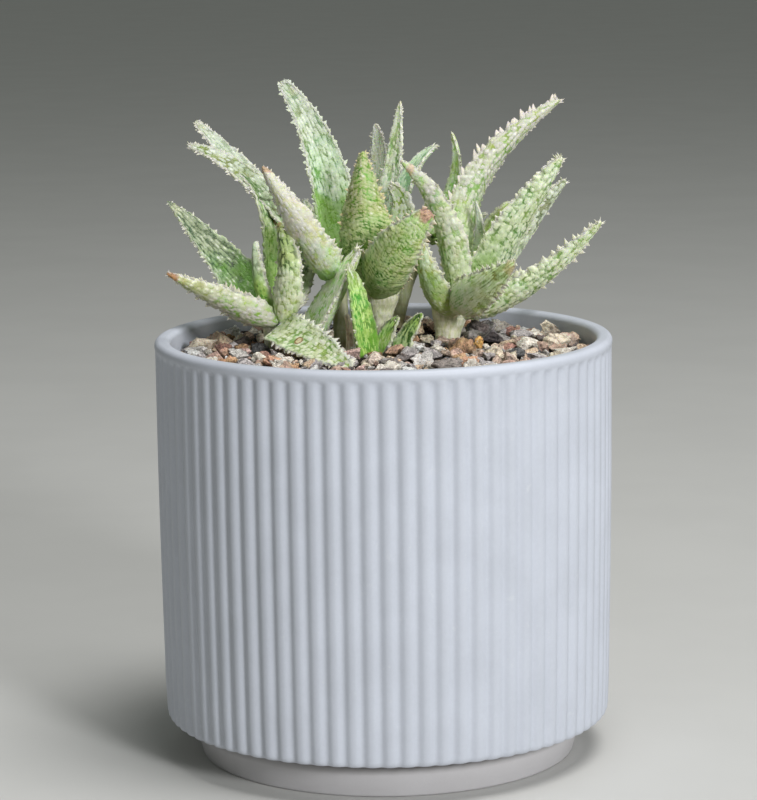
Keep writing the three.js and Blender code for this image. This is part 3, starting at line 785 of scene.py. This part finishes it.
# Wart patterns: step along and across, size along and across as shares of a step,
# share of warts that are there, height, how far rows are staggered, lengths in millimetres.
Pattern = namedtuple("Pattern", "step_a step_b size_a size_b kept relief stagger")
PATTERNS = {
    "pale": Pattern(1.9, 1.25, 0.6, 0.56, 0.93, 0.26, 0.5),
    "long": Pattern(2.7, 1.1, 0.62, 0.5, 0.86, 0.18, 0.5),
    "cross": Pattern(1.0, 1.5, 0.46, 0.6, 0.98, 0.26, 0.1),
    "bumpy": Pattern(1.8, 1.35, 0.58, 0.55, 0.95, 0.45, 0.5),
    "spots": Pattern(2.0, 1.4, 0.52, 0.5, 0.9, 0.22, 0.5),
    "smooth": Pattern(3.6, 0.8, 0.7, 0.5, 0.8, 0.05, 0.5),
    "young": Pattern(2.4, 0.85, 0.6, 0.44, 0.75, 0.12, 0.5),
}

# Paints of the leaves: deep grounds first, where night, pine, ivy and bottle are painted shade for shaded
# parts of leaves, then clear greens, then the pale ones of the warts.
LEAF_PAINTS = {
    "night": "24341e",
    "pine": "2c4c20",
    "ivy": "386c2a",
    "bottle": "466028",
    "fern": "5c8836",
    "drab": "6c7648",
    "olive": "808c3c",
    "reed": "949c50",
    "leek": "6aa43c",
    "apple": "80a842",
    "moss": "82a254",
    "sage": "84986c",
    "dull_sage": "98a484",
    "meadow": "98b45c",
    "grass": "9ac054",
    "dusty_green": "a0c07e",
    "jade": "9cc090",
    "spring": "acdc68",
    "lime": "acca66",
    "pear": "b0c47e",
    "straw": "b2b886",
    "hay": "c0c68a",
    "lichen": "b4c4a2",
    "stone_green": "c0c8b4",
    "celery": "c0d49a",
    "sprout": "c6e686",
    "mint": "c6dab8",
    "light_mint": "daf0c0",
    "lemon": "d6e8a6",
    "pale_sage": "d6e0bc",
    "milk": "e0e8c8",
    "cream": "e6ecd8",
    "ash": "cac8bc",
    "flesh": "d8b4a4",
    "skin": "f0e2d4",
}

PLAIN = {
    "pattern": "pale",
    # Paints of the ground and of the warts, in the lower and in the upper part of the leaf, which are
    # partly the leaf's own colours and partly painted light and shade of that part.
    "low": ("moss", "pale_sage"),
    "high": ("sage", "pale_sage"),
    # Where along the leaf those two parts meet, and how softly.
    "split": (0.5, 0.25),
    "margin": "dfe0c8",
    # Until where, or from where, along the leaf; colour; amount.
    "root_tint": (0.2, "9cbf6a", 0.7),
    "tip_tint": (0.93, "d8d2b0", 0.3),
    # Amount and colour.
    "blush": (0.0, "d8b8a0"),
    # Painted shade in the creases between the warts: amount and colour.
    "crack": (0.2, "3f5a24"),
    # How far the ground eats into the warts.
    "bare": 0.26,
    # Share of the width that is left at the tip.
    "blunt": 0.14,
    "tooth": "e6e2cc",
    # Spacing and height of the teeth, how pointed and broad they are, and how tall on each side.
    "teeth": (1.6, 1.0),
    "lobe": (1.0, 1.2),
    "sides": (1.0, 1.0),
    # How many teeth crown the tip, and how tall they are beside the others.
    "crown": 6,
    "crown_height": 1.0,
    # How hollow the upper face is, and how coarse the mesh is.
    "channel": 1.0,
    "coarse": 1.0,
}


def place(root, middle, tip, width, taper, roll, start=0.5, **look):
    """A leaf by three points of its middle line, its greatest width, how late it tapers, its roll
    in degrees and the share of its width at the root, with what sets its look off from PLAIN."""
    shape = {"root": root, "middle": middle, "tip": tip, "width": width, "taper": taper}
    return {**PLAIN, **shape, "roll": roll, "start": start, **look}


def rear_place(root, middle, tip, width, pattern="pale"):
    """A leaf at the back of its rosette, with a coarser mesh."""
    return place(root, middle, tip, width, 1.6, 0, pattern=pattern, coarse=1.25)


LEAVES = {
    "left_leaf_broad": place(
        [-31.5, 8, 121.5], [-46.8, 16, 139.2], [-60.5, 22, 152.5], 13, 1.3, -35,
        pattern="long", low=("pine", "fern"), high=("pine", "dull_sage"), split=(0.42, 0.2),
        margin="c9d2b0", root_tint=(0.4, "6c9c30", 0.6), teeth=(2.0, 0.75), crown=0, blunt=0.03,
    ),
    "left_leaf_low": place(
        [-29.5, 3, 120.5], [-44.5, -3, 128.4], [-59, -8, 136], 8.8, 1.5, 60,
        low=("grass", "ash"), high=("reed", "straw"), bare=0.14, blush=(0.25, "e0cfc0"),
        tip_tint=(0.9, "a0683e", 0.85), teeth=(2.2, 1.3), blunt=0.06,
    ),
    "left_leaf_curved": place(
        [-28.5, 3, 121], [-25.5, -1, 135.5], [-28.5, 4, 148], 8.5, 1.8, 150,
        pattern="bumpy", low=("meadow", "milk"), high=("bottle", "pear"),
        tip_tint=(0.95, "b08a5c", 0.6), blunt=0.2,
    ),
    "left_leaf_inner": place(
        [-31, 6, 122], [-34, 5, 133.5], [-35, 8, 142.5], 5.5, 1.6, 65,
        low=("leek", "lime"), high=("dull_sage", "lichen"), teeth=(1.6, 0.9),
    ),
    "left_leaf_tall": place(
        [-31.5, 10, 122], [-31, 18, 148.5], [-43.5, 28, 162], 8.5, 1.7, 5,
        pattern="long", low=("fern", "celery"), high=("bottle", "sage"), split=(0.5, 0.12),
        scar=(-29.7, 17.8, 146.6, 0.8), root_tint=(0.42, "78a040", 0.7), teeth=(2.8, 1.0),
    ),
    "left_leaf_front": place(
        [-29.5, 0, 120], [-19, -14, 116.5], [-8.5, -30, 112.5], 11, 1.6, 40, 0.9,
        pattern="spots", low=("moss", "pale_sage"), high=("meadow", "milk"), bare=0.16,
        scar=(-23.3, -9.1, 117.1, 1.2), margin="d6dcc4", root_tint=(0.02, "c6cda4", 0.4),
        teeth=(2.4, 1.5),
    ),
    "left_leaf_rear": rear_place([-31.5, 9.5, 120], [-37.5, 22, 126], [-43.5, 38, 130.5], 9, "bumpy"),
    "left_leaf_behind": rear_place([-29, 8.5, 120], [-23, 19, 130], [-20, 30, 137], 8),
    "rear_left_leaf_big": place(
        [-12, 9, 130.5], [-22.6, 0, 148.4], [-32.7, 2, 164], 9.7, 1.6, 65,
        low=("grass", "mint"), high=("hay", "ash"), split=(0.3, 0.16), bare=0.12,
        blush=(0.4, "e2cdbd"), root_tint=(0.26, "7cac40", 0.7), tip_tint=(0.93, "b48a62", 0.7),
        teeth=(2.4, 1.0), blunt=0.08,
    ),
    "rear_left_leaf_tall": place(
        [-10.5, 15, 132.5], [-16.2, 27, 163.5], [-28.2, 34, 185], 12.4, 1.7, -20,
        pattern="long", low=("fern", "mint"), high=("sage", "stone_green"), split=(0.55, 0.3),
        bare=0.14, root_tint=(0.42, "7ca83c", 0.8), tooth="cfdbbc", teeth=(1.9, 1.1), lobe=(0.8, 1.3),
        crown=7, crown_height=1.3, blunt=0.22, channel=2.2,
    ),
    "rear_left_leaf_lower": place(
        [-14, 12, 132], [-35.5, 23, 157], [-55, 31, 167.5], 7.5, 2, -25,
        low=("night", "sage"), high=("olive", "stone_green"), crown=7, crown_height=1.5, blunt=0.24,
    ),
    "rear_left_leaf_upper": place(
        [-12.5, 15.5, 133.5], [-34.2, 34, 154.5], [-53.4, 44, 173.2], 8.8, 2, -20,
        low=("dull_sage", "lichen"), high=("dull_sage", "stone_green"), crown_height=1.3, blunt=0.24,
    ),
    "rear_left_leaf_rear": rear_place([-12, 15.5, 130.5], [-17, 31, 140], [-22.5, 42, 150.5], 8, "bumpy"),
    "rear_left_leaf_behind": rear_place([-10.5, 14.5, 130], [-4, 29, 139], [2, 42, 147.5], 8),
    "centre_leaf_front": place(
        [-2, 15.5, 130.5], [-4.5, 9, 148], [-5, 11, 167], 16.8, 1.4, 30, 0.7,
        pattern="cross", low=("fern", "lemon"), high=("apple", "straw"), split=(0.4, 0.35),
        crack=(0.6, "3a4f18"), margin="b8c890", root_tint=(0.12, "8aac5a", 0.4),
        tip_tint=(0.95, "d58a50", 0.7), tooth="dfc39c", teeth=(2.3, 1.0), blunt=0.07,
    ),
    "centre_leaf_wide": place(
        [-1.5, 13.5, 128.5], [4.5, -4, 142], [13.5, -12, 152.5], 14, 1.7, -45, 0.7,
        pattern="cross", low=("leek", "lemon"), high=("grass", "lemon"), split=(0.5, 0.3),
        bare=0.16, crack=(0.35, "3f5a1c"), margin="d6dcc4", tip_tint=(0.92, "bd9080", 0.9),
        tooth="dcc4ac", teeth=(2.0, 1.2), crown=7, blunt=0.2,
    ),
    "centre_leaf_cream": place(
        [0, 16, 131.5], [6, 13, 148], [2, 14, 157.5], 10, 1.6, 105,
        low=("grass", "cream"), high=("grass", "cream"), teeth=(2.2, 1.1),
    ),
    "centre_leaf_slim": place(
        [-0.5, 19.5, 132], [3.1, 29, 159.5], [5.7, 35, 179], 8.8, 1.2, -15,
        low=("dusty_green", "cream"), high=("dusty_green", "milk"), tip_tint=(0.8, "cbb98c", 0.5),
        teeth=(1.8, 0.9), crown=0, blunt=0.04,
    ),
    # Painted light: paints lighter than the leaf's own colour, where it lies in the shade of other
    # leaves.
    "centre_leaf_blunt": place(
        [-2.5, 20, 130.5], [-0.5, 35, 155], [-1.5, 42, 172], 8, 2.2, -30,
        pattern="smooth", low=("pale_sage", "cream"), high=("pale_sage", "cream"),
        tip_tint=(0.88, "dfcfbc", 0.5), crown=0,
    ),
    "centre_leaf_blue": place(
        [1, 18, 131], [5.8, 23, 155.2], [15.8, 29, 166.8], 8.4, 1.6, 5,
        pattern="long", low=("jade", "mint"), high=("jade", "mint"), teeth=(1.9, 1.0),
        crown=7, crown_height=1.6,
    ),
    "right_leaf_long": place(
        [22, 21.5, 126.5], [25.8, 31, 154.7], [51.6, 42, 178.3], 9.6, 1.9, -100,
        pattern="bumpy", low=("dusty_green", "celery"), high=("meadow", "ash"), split=(0.35, 0.3),
        tooth="e9dccf", teeth=(2.8, 1.8), lobe=(0.7, 1.3), sides=(1.0, 0.4), crown=8,
    ),
    "rear_centre_leaf_small": place(
        [14, 36, 140.5], [21, 42, 155], [20.4, 46, 169], 6.6, 1.3, -15,
        low=("spring", "light_mint"), high=("spring", "light_mint"), teeth=(1.6, 0.9), crown=0,
        blunt=0.03,
    ),
    "rear_centre_leaf_rear": rear_place([13, 36, 140], [5, 45, 147], [-2, 51, 153], 7.5, "bumpy"),
    "rear_centre_leaf_low": rear_place([14, 36, 139], [23.5, 45, 143], [30.5, 52, 144.5], 7.5),
    "right_leaf_left": place(
        [21.5, 18, 124.5], [17.7, 14, 147.7], [5.5, 10, 164.5], 9, 2, 30,
        pattern="bumpy", low=("meadow", "pale_sage"), high=("dusty_green", "ash"), split=(0.5, 0.3),
        blush=(0.3, "e2cdb8"), root_tint=(0.1, "c0cc98", 0.5), tip_tint=(0.96, "cf9458", 0.4),
        teeth=(2.1, 1.2), blunt=0.08,
    ),
    "right_leaf_front": place(
        [20, 12, 123.3], [28, -4, 130.6], [36, -12, 138.4], 11.4, 1.6, -70,
        pattern="smooth", low=("grass", "milk"), high=("olive", "celery"), bare=0.04,
        crack=(0.05, "5a6030"), margin="d8dabc", root_tint=(0.05, "c6cba0", 0.5),
        tip_tint=(0.93, "c0a47c", 0.6), teeth=(1.7, 1.1), blunt=0.1,
    ),
    "right_leaf_small": place(
        [20, 15, 121], [14, 7, 131], [11, 6, 143], 9.5, 1.8, 10,
        low=("grass", "pear"), high=("reed", "lichen"), root_tint=(0.22, "cdd2ac", 0.8),
        teeth=(2.1, 1.2),
    ),
    "right_leaf_low": place(
        [20, 17, 120.5], [41, 13, 129.5], [61, 8, 147], 9.5, 1.5, -55,
        pattern="bumpy", low=("moss", "pale_sage"), high=("moss", "milk"),
        root_tint=(0.1, "b9c88e", 0.5), teeth=(3.0, 1.6), crown=5,
    ),
    # Painted light: paints lighter than the leaf's own colour, where it lies in the shade of other
    # leaves.
    "right_leaf_young": place(
        [24, 19, 125.5], [27.5, 21, 139.5], [26.5, 20, 151.5], 4.5, 1.2, 45,
        pattern="long", low=("spring", "light_mint"), high=("mint", "cream"),
        root_tint=(0.42, "8fc24e", 0.8), teeth=(2.2, 0.6), crown=0, blunt=0.05,
    ),
    "right_leaf_bumpy": place(
        [23.5, 18, 124], [38, 17, 147.5], [50.5, 15, 164.5], 11.5, 1.8, -50,
        pattern="bumpy", low=("fern", "pale_sage"), high=("moss", "pale_sage"),
        root_tint=(0.34, "88ac50", 0.65), teeth=(2.2, 1.2), crown=8, crown_height=1.7,
    ),
    "right_leaf_under": place(
        [24, 21, 122], [39.8, 27, 142.3], [52.4, 30, 156.5], 9, 1.5, -70,
        pattern="bumpy", low=("lichen", "milk"), high=("drab", "stone_green"),
        root_tint=(0.2, "90b460", 0.6), teeth=(2.2, 1.2), crown=7, crown_height=1.6,
    ),
    "right_leaf_olive": place(
        [23, 22, 123.5], [31, 38, 141.5], [41, 44, 149], 9, 1.6, -80,
        pattern="smooth", low=("olive", "grass"), high=("olive", "lime"), bare=0.08,
        tip_tint=(0.85, "b89a74", 0.5), teeth=(3.2, 0.6), crown=0,
    ),
    "right_leaf_rear": rear_place([22.5, 22, 121], [35.5, 33, 127], [46.5, 42, 129], 8.5, "bumpy"),
    "right_leaf_behind": rear_place([21, 22, 121], [20.5, 34, 128], [18.5, 46, 134.5], 8),
    "pup_leaf_upright": place(
        [-3.4, -5, 108], [-6.2, -6, 126], [-9.5, -4, 137.5], 8.2, 1.5, -35, 0.7,
        pattern="young", low=("leek", "sprout"), high=("meadow", "lichen"), split=(0.7, 0.25),
        margin="a9c67c", root_tint=(0.3, "7fb436", 0.6), teeth=(3.2, 0.8), crown=7,
    ),
    # Painted light: paints lighter than the leaf's own colour, where it lies in the shade of other
    # leaves.
    "pup_leaf_folded": place(
        [-26, 1, 109], [-15.2, 1, 128], [-6.5, 2, 141], 12.4, 1.9, 20,
        low=("spring", "cream"), high=("spring", "milk"), teeth=(1.9, 0.9), crown=10,
        crown_height=2.6,
    ),
    # Painted light: paints lighter than the leaf's own colour, where it lies in the shade of other
    # leaves.
    "pup_leaf_toothed": place(
        [-2, -2, 110], [1.2, -2, 118], [4.4, -1, 122.2], 6, 1.5, 35,
        pattern="young", low=("spring", "lemon"), high=("drab", "sprout"), teeth=(1.5, 0.8),
        crown=4,
    ),
    "pup_leaf_small": place(
        [3.2, 0, 110.5], [7.2, 0, 118], [11, 0, 122.8], 5, 1.8, 60,
        pattern="young", low=("ivy", "celery"), high=("pine", "lime"), teeth=(1.9, 0.6),
        crown=3,
    ),
    # Painted light: paints lighter than the bract's own colour, where it lies in the shade of the leaves.
    "dry_bract": place(
        [-8.5, 2, 108.5], [-8.5, 2.5, 116.5], [-10, 3, 122.5], 4.5, 1.8, 20,
        pattern="smooth", low=("flesh", "skin"), high=("flesh", "skin"), margin="c0a294",
        root_tint=(0.0, "6a4030", 0.5), tip_tint=(0.8, "d8cabc", 0.7), tooth="b89a88",
        teeth=(2.2, 0.4), crown=0,
    ),
}


def warts(along, across, pattern, seed):
    """Height from 0 to 1 of the warts at places on a leaf's face."""
    step_a, step_b, size_a, size_b, kept, _, stagger = pattern
    best = np.zeros(along.shape)
    middle_row = np.floor(across / step_b)
    for row in (middle_row - 1, middle_row, middle_row + 1):
        shift = stagger * (row % 2 + 0.6 * hashed(row, seed))
        middle_cell = np.floor(along / step_a - shift)
        for cell in (middle_cell - 1, middle_cell, middle_cell + 1):
            draw = [hashed(row, cell, seed + 1000 * k) for k in range(1, 5)]
            at_a = (cell + 0.5 + shift + 0.5 * (draw[0] - 0.5)) * step_a
            at_b = (row + 0.5 + 0.4 * (draw[1] - 0.5)) * step_b
            grow = 0.72 + 0.55 * draw[2]
            far_a = np.abs(along - at_a) / (size_a * step_a * grow)
            far_b = np.abs(across - at_b) / (size_b * step_b * grow)
            dome = np.clip(1 - (far_a**2.6 + far_b**2.6), 0, 1)
            best = np.maximum(best, dome * np.where(draw[3] < kept, 1, 0.2))
    return best


def leaf_line(shape, t):
    """Middle line, tangent, side and normal of a leaf, and its half width."""
    root, middle, tip = (np.array(shape[key], float) for key in ("root", "middle", "tip"))
    centre, tangent = bezier(root, 2 * middle - (root + tip) / 2, tip, t)
    heading = math.atan2(tip[1] - root[1], tip[0] - root[0])
    level = np.array([-math.sin(heading), math.cos(heading), 0])
    side = unit(level - (tangent @ level)[:, None] * tangent)
    roll = math.radians(shape["roll"])
    side = side * math.cos(roll) + np.cross(tangent, side) * math.sin(roll)
    normal = np.cross(tangent, side)
    beyond = np.clip((t - WIDEST_AT) / (1 - WIDEST_AT), 0, 1)
    start = shape["start"]
    blunt = shape["blunt"]
    ahead = blunt + (1 - blunt) * (1 - beyond ** shape["taper"])
    share = np.where(t < WIDEST_AT, start + (1 - start) * t / WIDEST_AT, ahead)
    share = share * np.sqrt(1 - (np.clip(t - ROUNDED_FROM, 0, None) / (1 - ROUNDED_FROM)) ** 2)
    return centre, tangent, side, normal, shape["width"] * share / 2


def blade_columns(width, grid):
    """Places across the section, and the face of each: 1 above, -1 below, 0 at a margin."""
    upper = int(np.clip(width / (1.1 * grid), 10, 30))
    lower = int(np.clip(width / (0.92 * grid), 12, 38))
    across = np.concatenate([np.linspace(1, -1, upper), [-1], np.linspace(-1, 1, lower), [1]])
    face = np.concatenate([np.full(upper, 1), [0], np.full(lower, -1), [0]])
    return across, face


def blade_height(channel, reach, across, face, fade):
    """Height of the section over the middle line: hollow above, keeled below."""
    edge = (MARGIN_THICKNESS / 2 * (0.35 + 0.65 * fade))[:, None]
    hollow = (CHANNEL_SHARE * channel * reach)[:, None] * (1 - across**2)
    keel = ((KEEL_LEAST * fade) + KEEL_SHARE * reach)[:, None] * (1 - across**2)
    return np.where(face == 1, edge - hollow, np.where(face == -1, -edge - keel, 0 * keel))


def blade_breadth(along, reach, across, face, fade, seed):
    """Distance sideways from the middle line, with uneven and slightly notched margins."""
    wide = reach[:, None] * across + 0.3 * np.sign(across) * (face == 0) * fade[:, None]
    line = np.stack([along, 0 * along, 0 * along + seed], -1)
    uneven = 0.04 * noise(line, 5, seed)[:, None] * wide
    for sign in (-1, 1):
        notch = 0.5 * noise(line + 50 * sign, 1.0, seed) * np.clip(reach / 2.5, 0.2, 1)
        uneven = uneven + notch[:, None] * np.clip(sign * across, 0, 1) ** 6 * sign
    return wide + uneven


def blade_warts(along, reach, across, face, pattern, seed):
    """Height from 0 to 1 of the warts all over the blade, bent off their rows by noise."""
    slope = np.where(face == -1, np.sqrt(1 + (KEEL_SHARE * 1.1) ** 2), 1)
    face_across = reach[:, None] * across * slope
    face_along = np.broadcast_to(along[:, None], face_across.shape)
    shift = np.where(face == -1, 40.0, 0.0)
    place_a = face_along + 0.4 * np.abs(face_across)
    place_b = face_across + shift + 200
    spots = np.stack([place_a, place_b, 0 * place_a], -1).reshape(-1, 3)
    bend = noise(spots, 2.2, seed).reshape(place_a.shape)
    dome = warts(place_a + 0.45 * bend, place_b + 0.2 * bend, pattern, seed)
    speckle = warts(2.1 * place_a + bend, 2.1 * place_b, pattern, seed + 7)
    return np.maximum(dome, 0.3 * speckle)


def path_lengths(line):
    """Distance along a line of points, from its start to each point."""
    return np.concatenate([[0], np.cumsum(np.linalg.norm(np.diff(line, axis=0), axis=1))])


def leaf_patch(shape, seed):
    """The blade of a leaf, with its warts raised."""
    pattern = PATTERNS[shape["pattern"]]
    rough_line = leaf_line(shape, np.linspace(0, 1, 60))[0]
    length = np.linalg.norm(np.diff(rough_line, axis=0), axis=1).sum()
    grid = GRID * shape["coarse"]
    rows = int(length / grid) + 2
    t = 1 - (1 - np.linspace(0, 1, rows)) ** 1.08
    centre, tangent, side, normal, reach = leaf_line(shape, t)
    along = path_lengths(centre)
    across, face = blade_columns(shape["width"], grid)
    fade = np.clip((1 - t) / 0.05, 0, 1) ** 0.6
    height = blade_height(shape["channel"], reach, across, face, fade)
    wide = blade_breadth(along, reach, across, face, fade, seed)
    points = centre[:, None] + wide[..., None] * side[:, None] + height[..., None] * normal[:, None]
    # Outward normals of the smooth blade.
    d_row = np.gradient(points, axis=0)
    d_column = np.roll(points, -1, axis=1) - np.roll(points, 1, axis=1)
    outward = unit(np.cross(d_row, d_column) + 1e-12)
    inside = np.sum(outward * (points - centre[:, None]), -1).sum() < 0
    outward = -outward if inside else outward
    dome = blade_warts(along, reach, across, face, pattern, seed)
    near_margin = np.clip((1 - np.abs(across)) / 0.12, 0.45, 1)
    near_root = smoothstep(0, 0.12, t)
    small = np.clip(reach / 3.0, 0.35, 1)
    relief = pattern.relief * dome**0.8 * near_margin * (near_root * small)[:, None]
    points = points + relief[..., None] * outward
    tones = np.zeros((*points.shape[:2], 4))
    tones[..., 0] = dome
    tones[..., 1] = np.clip(np.abs(across), 0, 1) ** 14
    tones[..., 2] = t[:, None]
    columns = len(across)
    ends = np.array([centre[0], centre[-1] + tangent[-1] * 0.1])
    points = np.concatenate([points.reshape(-1, 3), ends])
    tones = np.concatenate([tones.reshape(-1, 4), [[0.5, 0, 0, 0], [0.5, 0, 1, 0]]])
    first = fan_faces(0, columns, len(points) - 2, True)
    last = fan_faces((rows - 1) * columns, columns, len(points) - 1, False)
    blade = Patch(points, [grid_faces(rows, columns), first, last], tones)
    return flipped(blade) if inside else blade


def flipped(patch):
    """The patch with its faces turned over."""
    return Patch(patch.points, [faces[:, ::-1] for faces in patch.faces], patch.tones)


def tooth_patch(base, out, forward, thick, length, breadth, t, point=1.15):
    """One curved, pointed tooth that grows out of a broad foot on the margin."""
    rows, columns = 4, 6
    share = np.linspace(0, 1, rows)
    angle = TURN * np.arange(columns) / columns
    spine = base + out * length * share[:, None] + forward * (0.35 * length * share[:, None] ** 1.7)
    broad = breadth / 2 * (1 - 0.95 * share)[:, None] ** point * np.cos(angle)
    deep = (0.2 + 0.12 * length) * (1 - 0.9 * share)[:, None] * np.sin(angle)
    points = spine[:, None] + broad[..., None] * forward + deep[..., None] * thick
    tones = np.zeros((rows * columns, 4))
    tones[:, 0] = 0.8
    tones[:, 1] = 1
    tones[:, 2] = t
    tones[:, 3] = np.repeat(np.clip(0.15 + 0.85 * share, 0, 1), columns)
    return Patch(points.reshape(-1, 3), [grid_faces(rows, columns)], tones)


def teeth_patches(shape, seed):
    """Teeth along both margins, on broad uneven feet, and a crown of them at the tip."""
    random = np.random.default_rng(seed)
    spacing, height = shape["teeth"]
    point, broad = shape["lobe"]
    dense = np.linspace(0, 1, 400)
    line = leaf_line(shape, dense)
    along = path_lengths(line[0])
    patches = []
    for sign, tall in zip((-1, 1), shape["sides"]):
        at = along[-1] * 0.07 + spacing * random.random()
        while at < along[-1] - 0.4:
            index = int(np.searchsorted(along, at))
            centre, tangent, side, normal, reach = (part[index] for part in line)
            t = dense[index]
            length = tall * height * (0.35 + 1.1 * random.random() ** 1.4) * min(1, 0.6 + reach / 6)
            if t < 0.2:
                length *= 0.4 + 3 * t
            ahead, upward = random.uniform(-0.25, 0.35), random.uniform(-0.3, 0.3)
            out = unit(sign * side + tangent * ahead + normal * upward)
            base = centre + sign * side * (reach - 0.3)
            breadth = (0.4 + 0.6 * tall) * broad * random.uniform(1.0, 1.9)
            breadth *= (0.6 + 0.5 * height) * min(1, 0.5 + reach / 3)
            patches.append(tooth_patch(base, out, tangent, normal, length + 0.3, breadth, t, point))
            if random.random() < 0.4:
                beside = base + tangent * random.choice([-0.6, 0.6])
                small = (0.65 * length + 0.3, 0.8 * breadth)
                patches.append(tooth_patch(beside, out, tangent, normal, *small, t))
            closer = 1 if t < 0.7 else 1 - 0.9 * (t - 0.7)
            at += 0.8 * spacing * closer * random.uniform(0.5, 1.5)
    return patches + crown_patches(shape, random, (part[-1] for part in line))


def crown_patches(shape, random, tip):
    """A ring of teeth round the tip of a leaf."""
    centre, tangent, side, normal, _ = tip
    height = shape["teeth"][1] * shape["crown_height"]
    spread = 0.5 * shape["width"] * shape["blunt"]
    patches = []
    for index in range(shape["crown"]):
        turn = TURN * (index + 0.4 * random.random()) / shape["crown"]
        across = math.cos(turn)
        outward = across * side + 0.5 * math.sin(turn) * normal
        out = unit(tangent * random.uniform(0.5, 1.1) + 0.9 * outward)
        base = centre - tangent * random.uniform(0.5, 1.8) + side * across * spread * 0.7
        level = unit(np.cross(out, normal + 0.01))
        long = height * random.uniform(0.7, 1.2)
        patches.append(tooth_patch(base, out, level, normal, long, 0.8, 1.0))
    return patches


# -------------------- making the pieces

add_piece("planter", [pot_patch(), glaze_speck()], ceramic_material(), ["pot"])
add_piece("soil_surface", [soil_patch()], soil_material(), ["soil"])

stone_materials = {}
for kind, grit in GRIT.items():
    stone_materials[kind] = stone_material(kind, grit.pores, grit.fleck, grit.roughness)
for kind, patches in grit_patches().items():
    add_piece(kind, patches, stone_materials[kind])
for index, (node, (centre, size, paint, kind)) in enumerate(NAMED_STONES.items()):
    patch = stone_patch(np.array(centre), size, paint, 70 + index, 4, 0.25)
    add_piece(node + "_chipped", [patch], stone_materials[kind], [node])

stem_finish = stem_material()
for index, (node, shape) in enumerate(STEMS.items()):
    add_piece(node + "_scarred", [stem_patch(*shape, 40 + index)], stem_finish, [node])

for index, (node, shape) in enumerate(LEAVES.items()):
    patches = [leaf_patch(shape, 11 + index)] + teeth_patches(shape, 300 + index)
    add_piece(node + "_warty", patches, leaf_material(node, shape), [node])

# -------------------- floor, light, camera

bpy.ops.mesh.primitive_plane_add(size=9, location=(0, 2.0, 0))
floor = bpy.context.object
floor.name = "floor"
floor.data.materials.append(floor_material())


def area_light(name, place, aim, size, power, colour):
    """A round softbox that faces the place it aims at."""
    data = bpy.data.lights.new(name, "AREA")
    data.shape = "DISK"
    data.size = size
    data.energy = power
    data.color = colour
    lamp = bpy.data.objects.new(name, data)
    lamp.location = place
    lamp.rotation_euler = (Vector(aim) - Vector(place)).to_track_quat("-Z", "Y").to_euler()
    bpy.context.scene.collection.objects.link(lamp)


area_light("key_light", (0.8, -1.31, 0.63), (0, 0, 0.11), 0.34, 16.6, (0.97, 0.985, 1.0))
area_light("top_light", (0.3, -0.2, 1.4), (0, 0, 0.11), 0.7, 13, (1.0, 1.0, 1.0))

world = bpy.data.worlds.new("studio")
world.use_nodes = True
world.node_tree.nodes["Background"].inputs[0].default_value = (0.93, 1.0, 0.94, 1)
world.node_tree.nodes["Background"].inputs[1].default_value = 0.19
bpy.context.scene.world = world
bpy.context.scene.view_settings.view_transform = "Standard"

CAMERA_PLACE = (0, -0.843, 0.2466)
PITCH, YAW, ROLL = (math.radians(a) for a in (9.957, -0.105, -0.727))
LENS, SENSOR = 138.3, 36

ahead = Vector((math.sin(YAW) * math.cos(PITCH), math.cos(YAW) * math.cos(PITCH), -math.sin(PITCH)))
right = Vector((math.cos(YAW), -math.sin(YAW), 0))
up = right.cross(ahead)
right, up = right * math.cos(ROLL) + up * math.sin(ROLL), up * math.cos(ROLL) - right * math.sin(ROLL)
camera_data = bpy.data.cameras.new("camera")
camera_data.lens = LENS
camera_data.sensor_width = SENSOR
camera_data.clip_start = 0.01
camera = bpy.data.objects.new("camera", camera_data)
camera.matrix_world = Matrix.Translation(CAMERA_PLACE) @ Matrix((right, up, -ahead)).transposed().to_4x4()
bpy.context.scene.collection.objects.link(camera)
bpy.context.scene.camera = camera
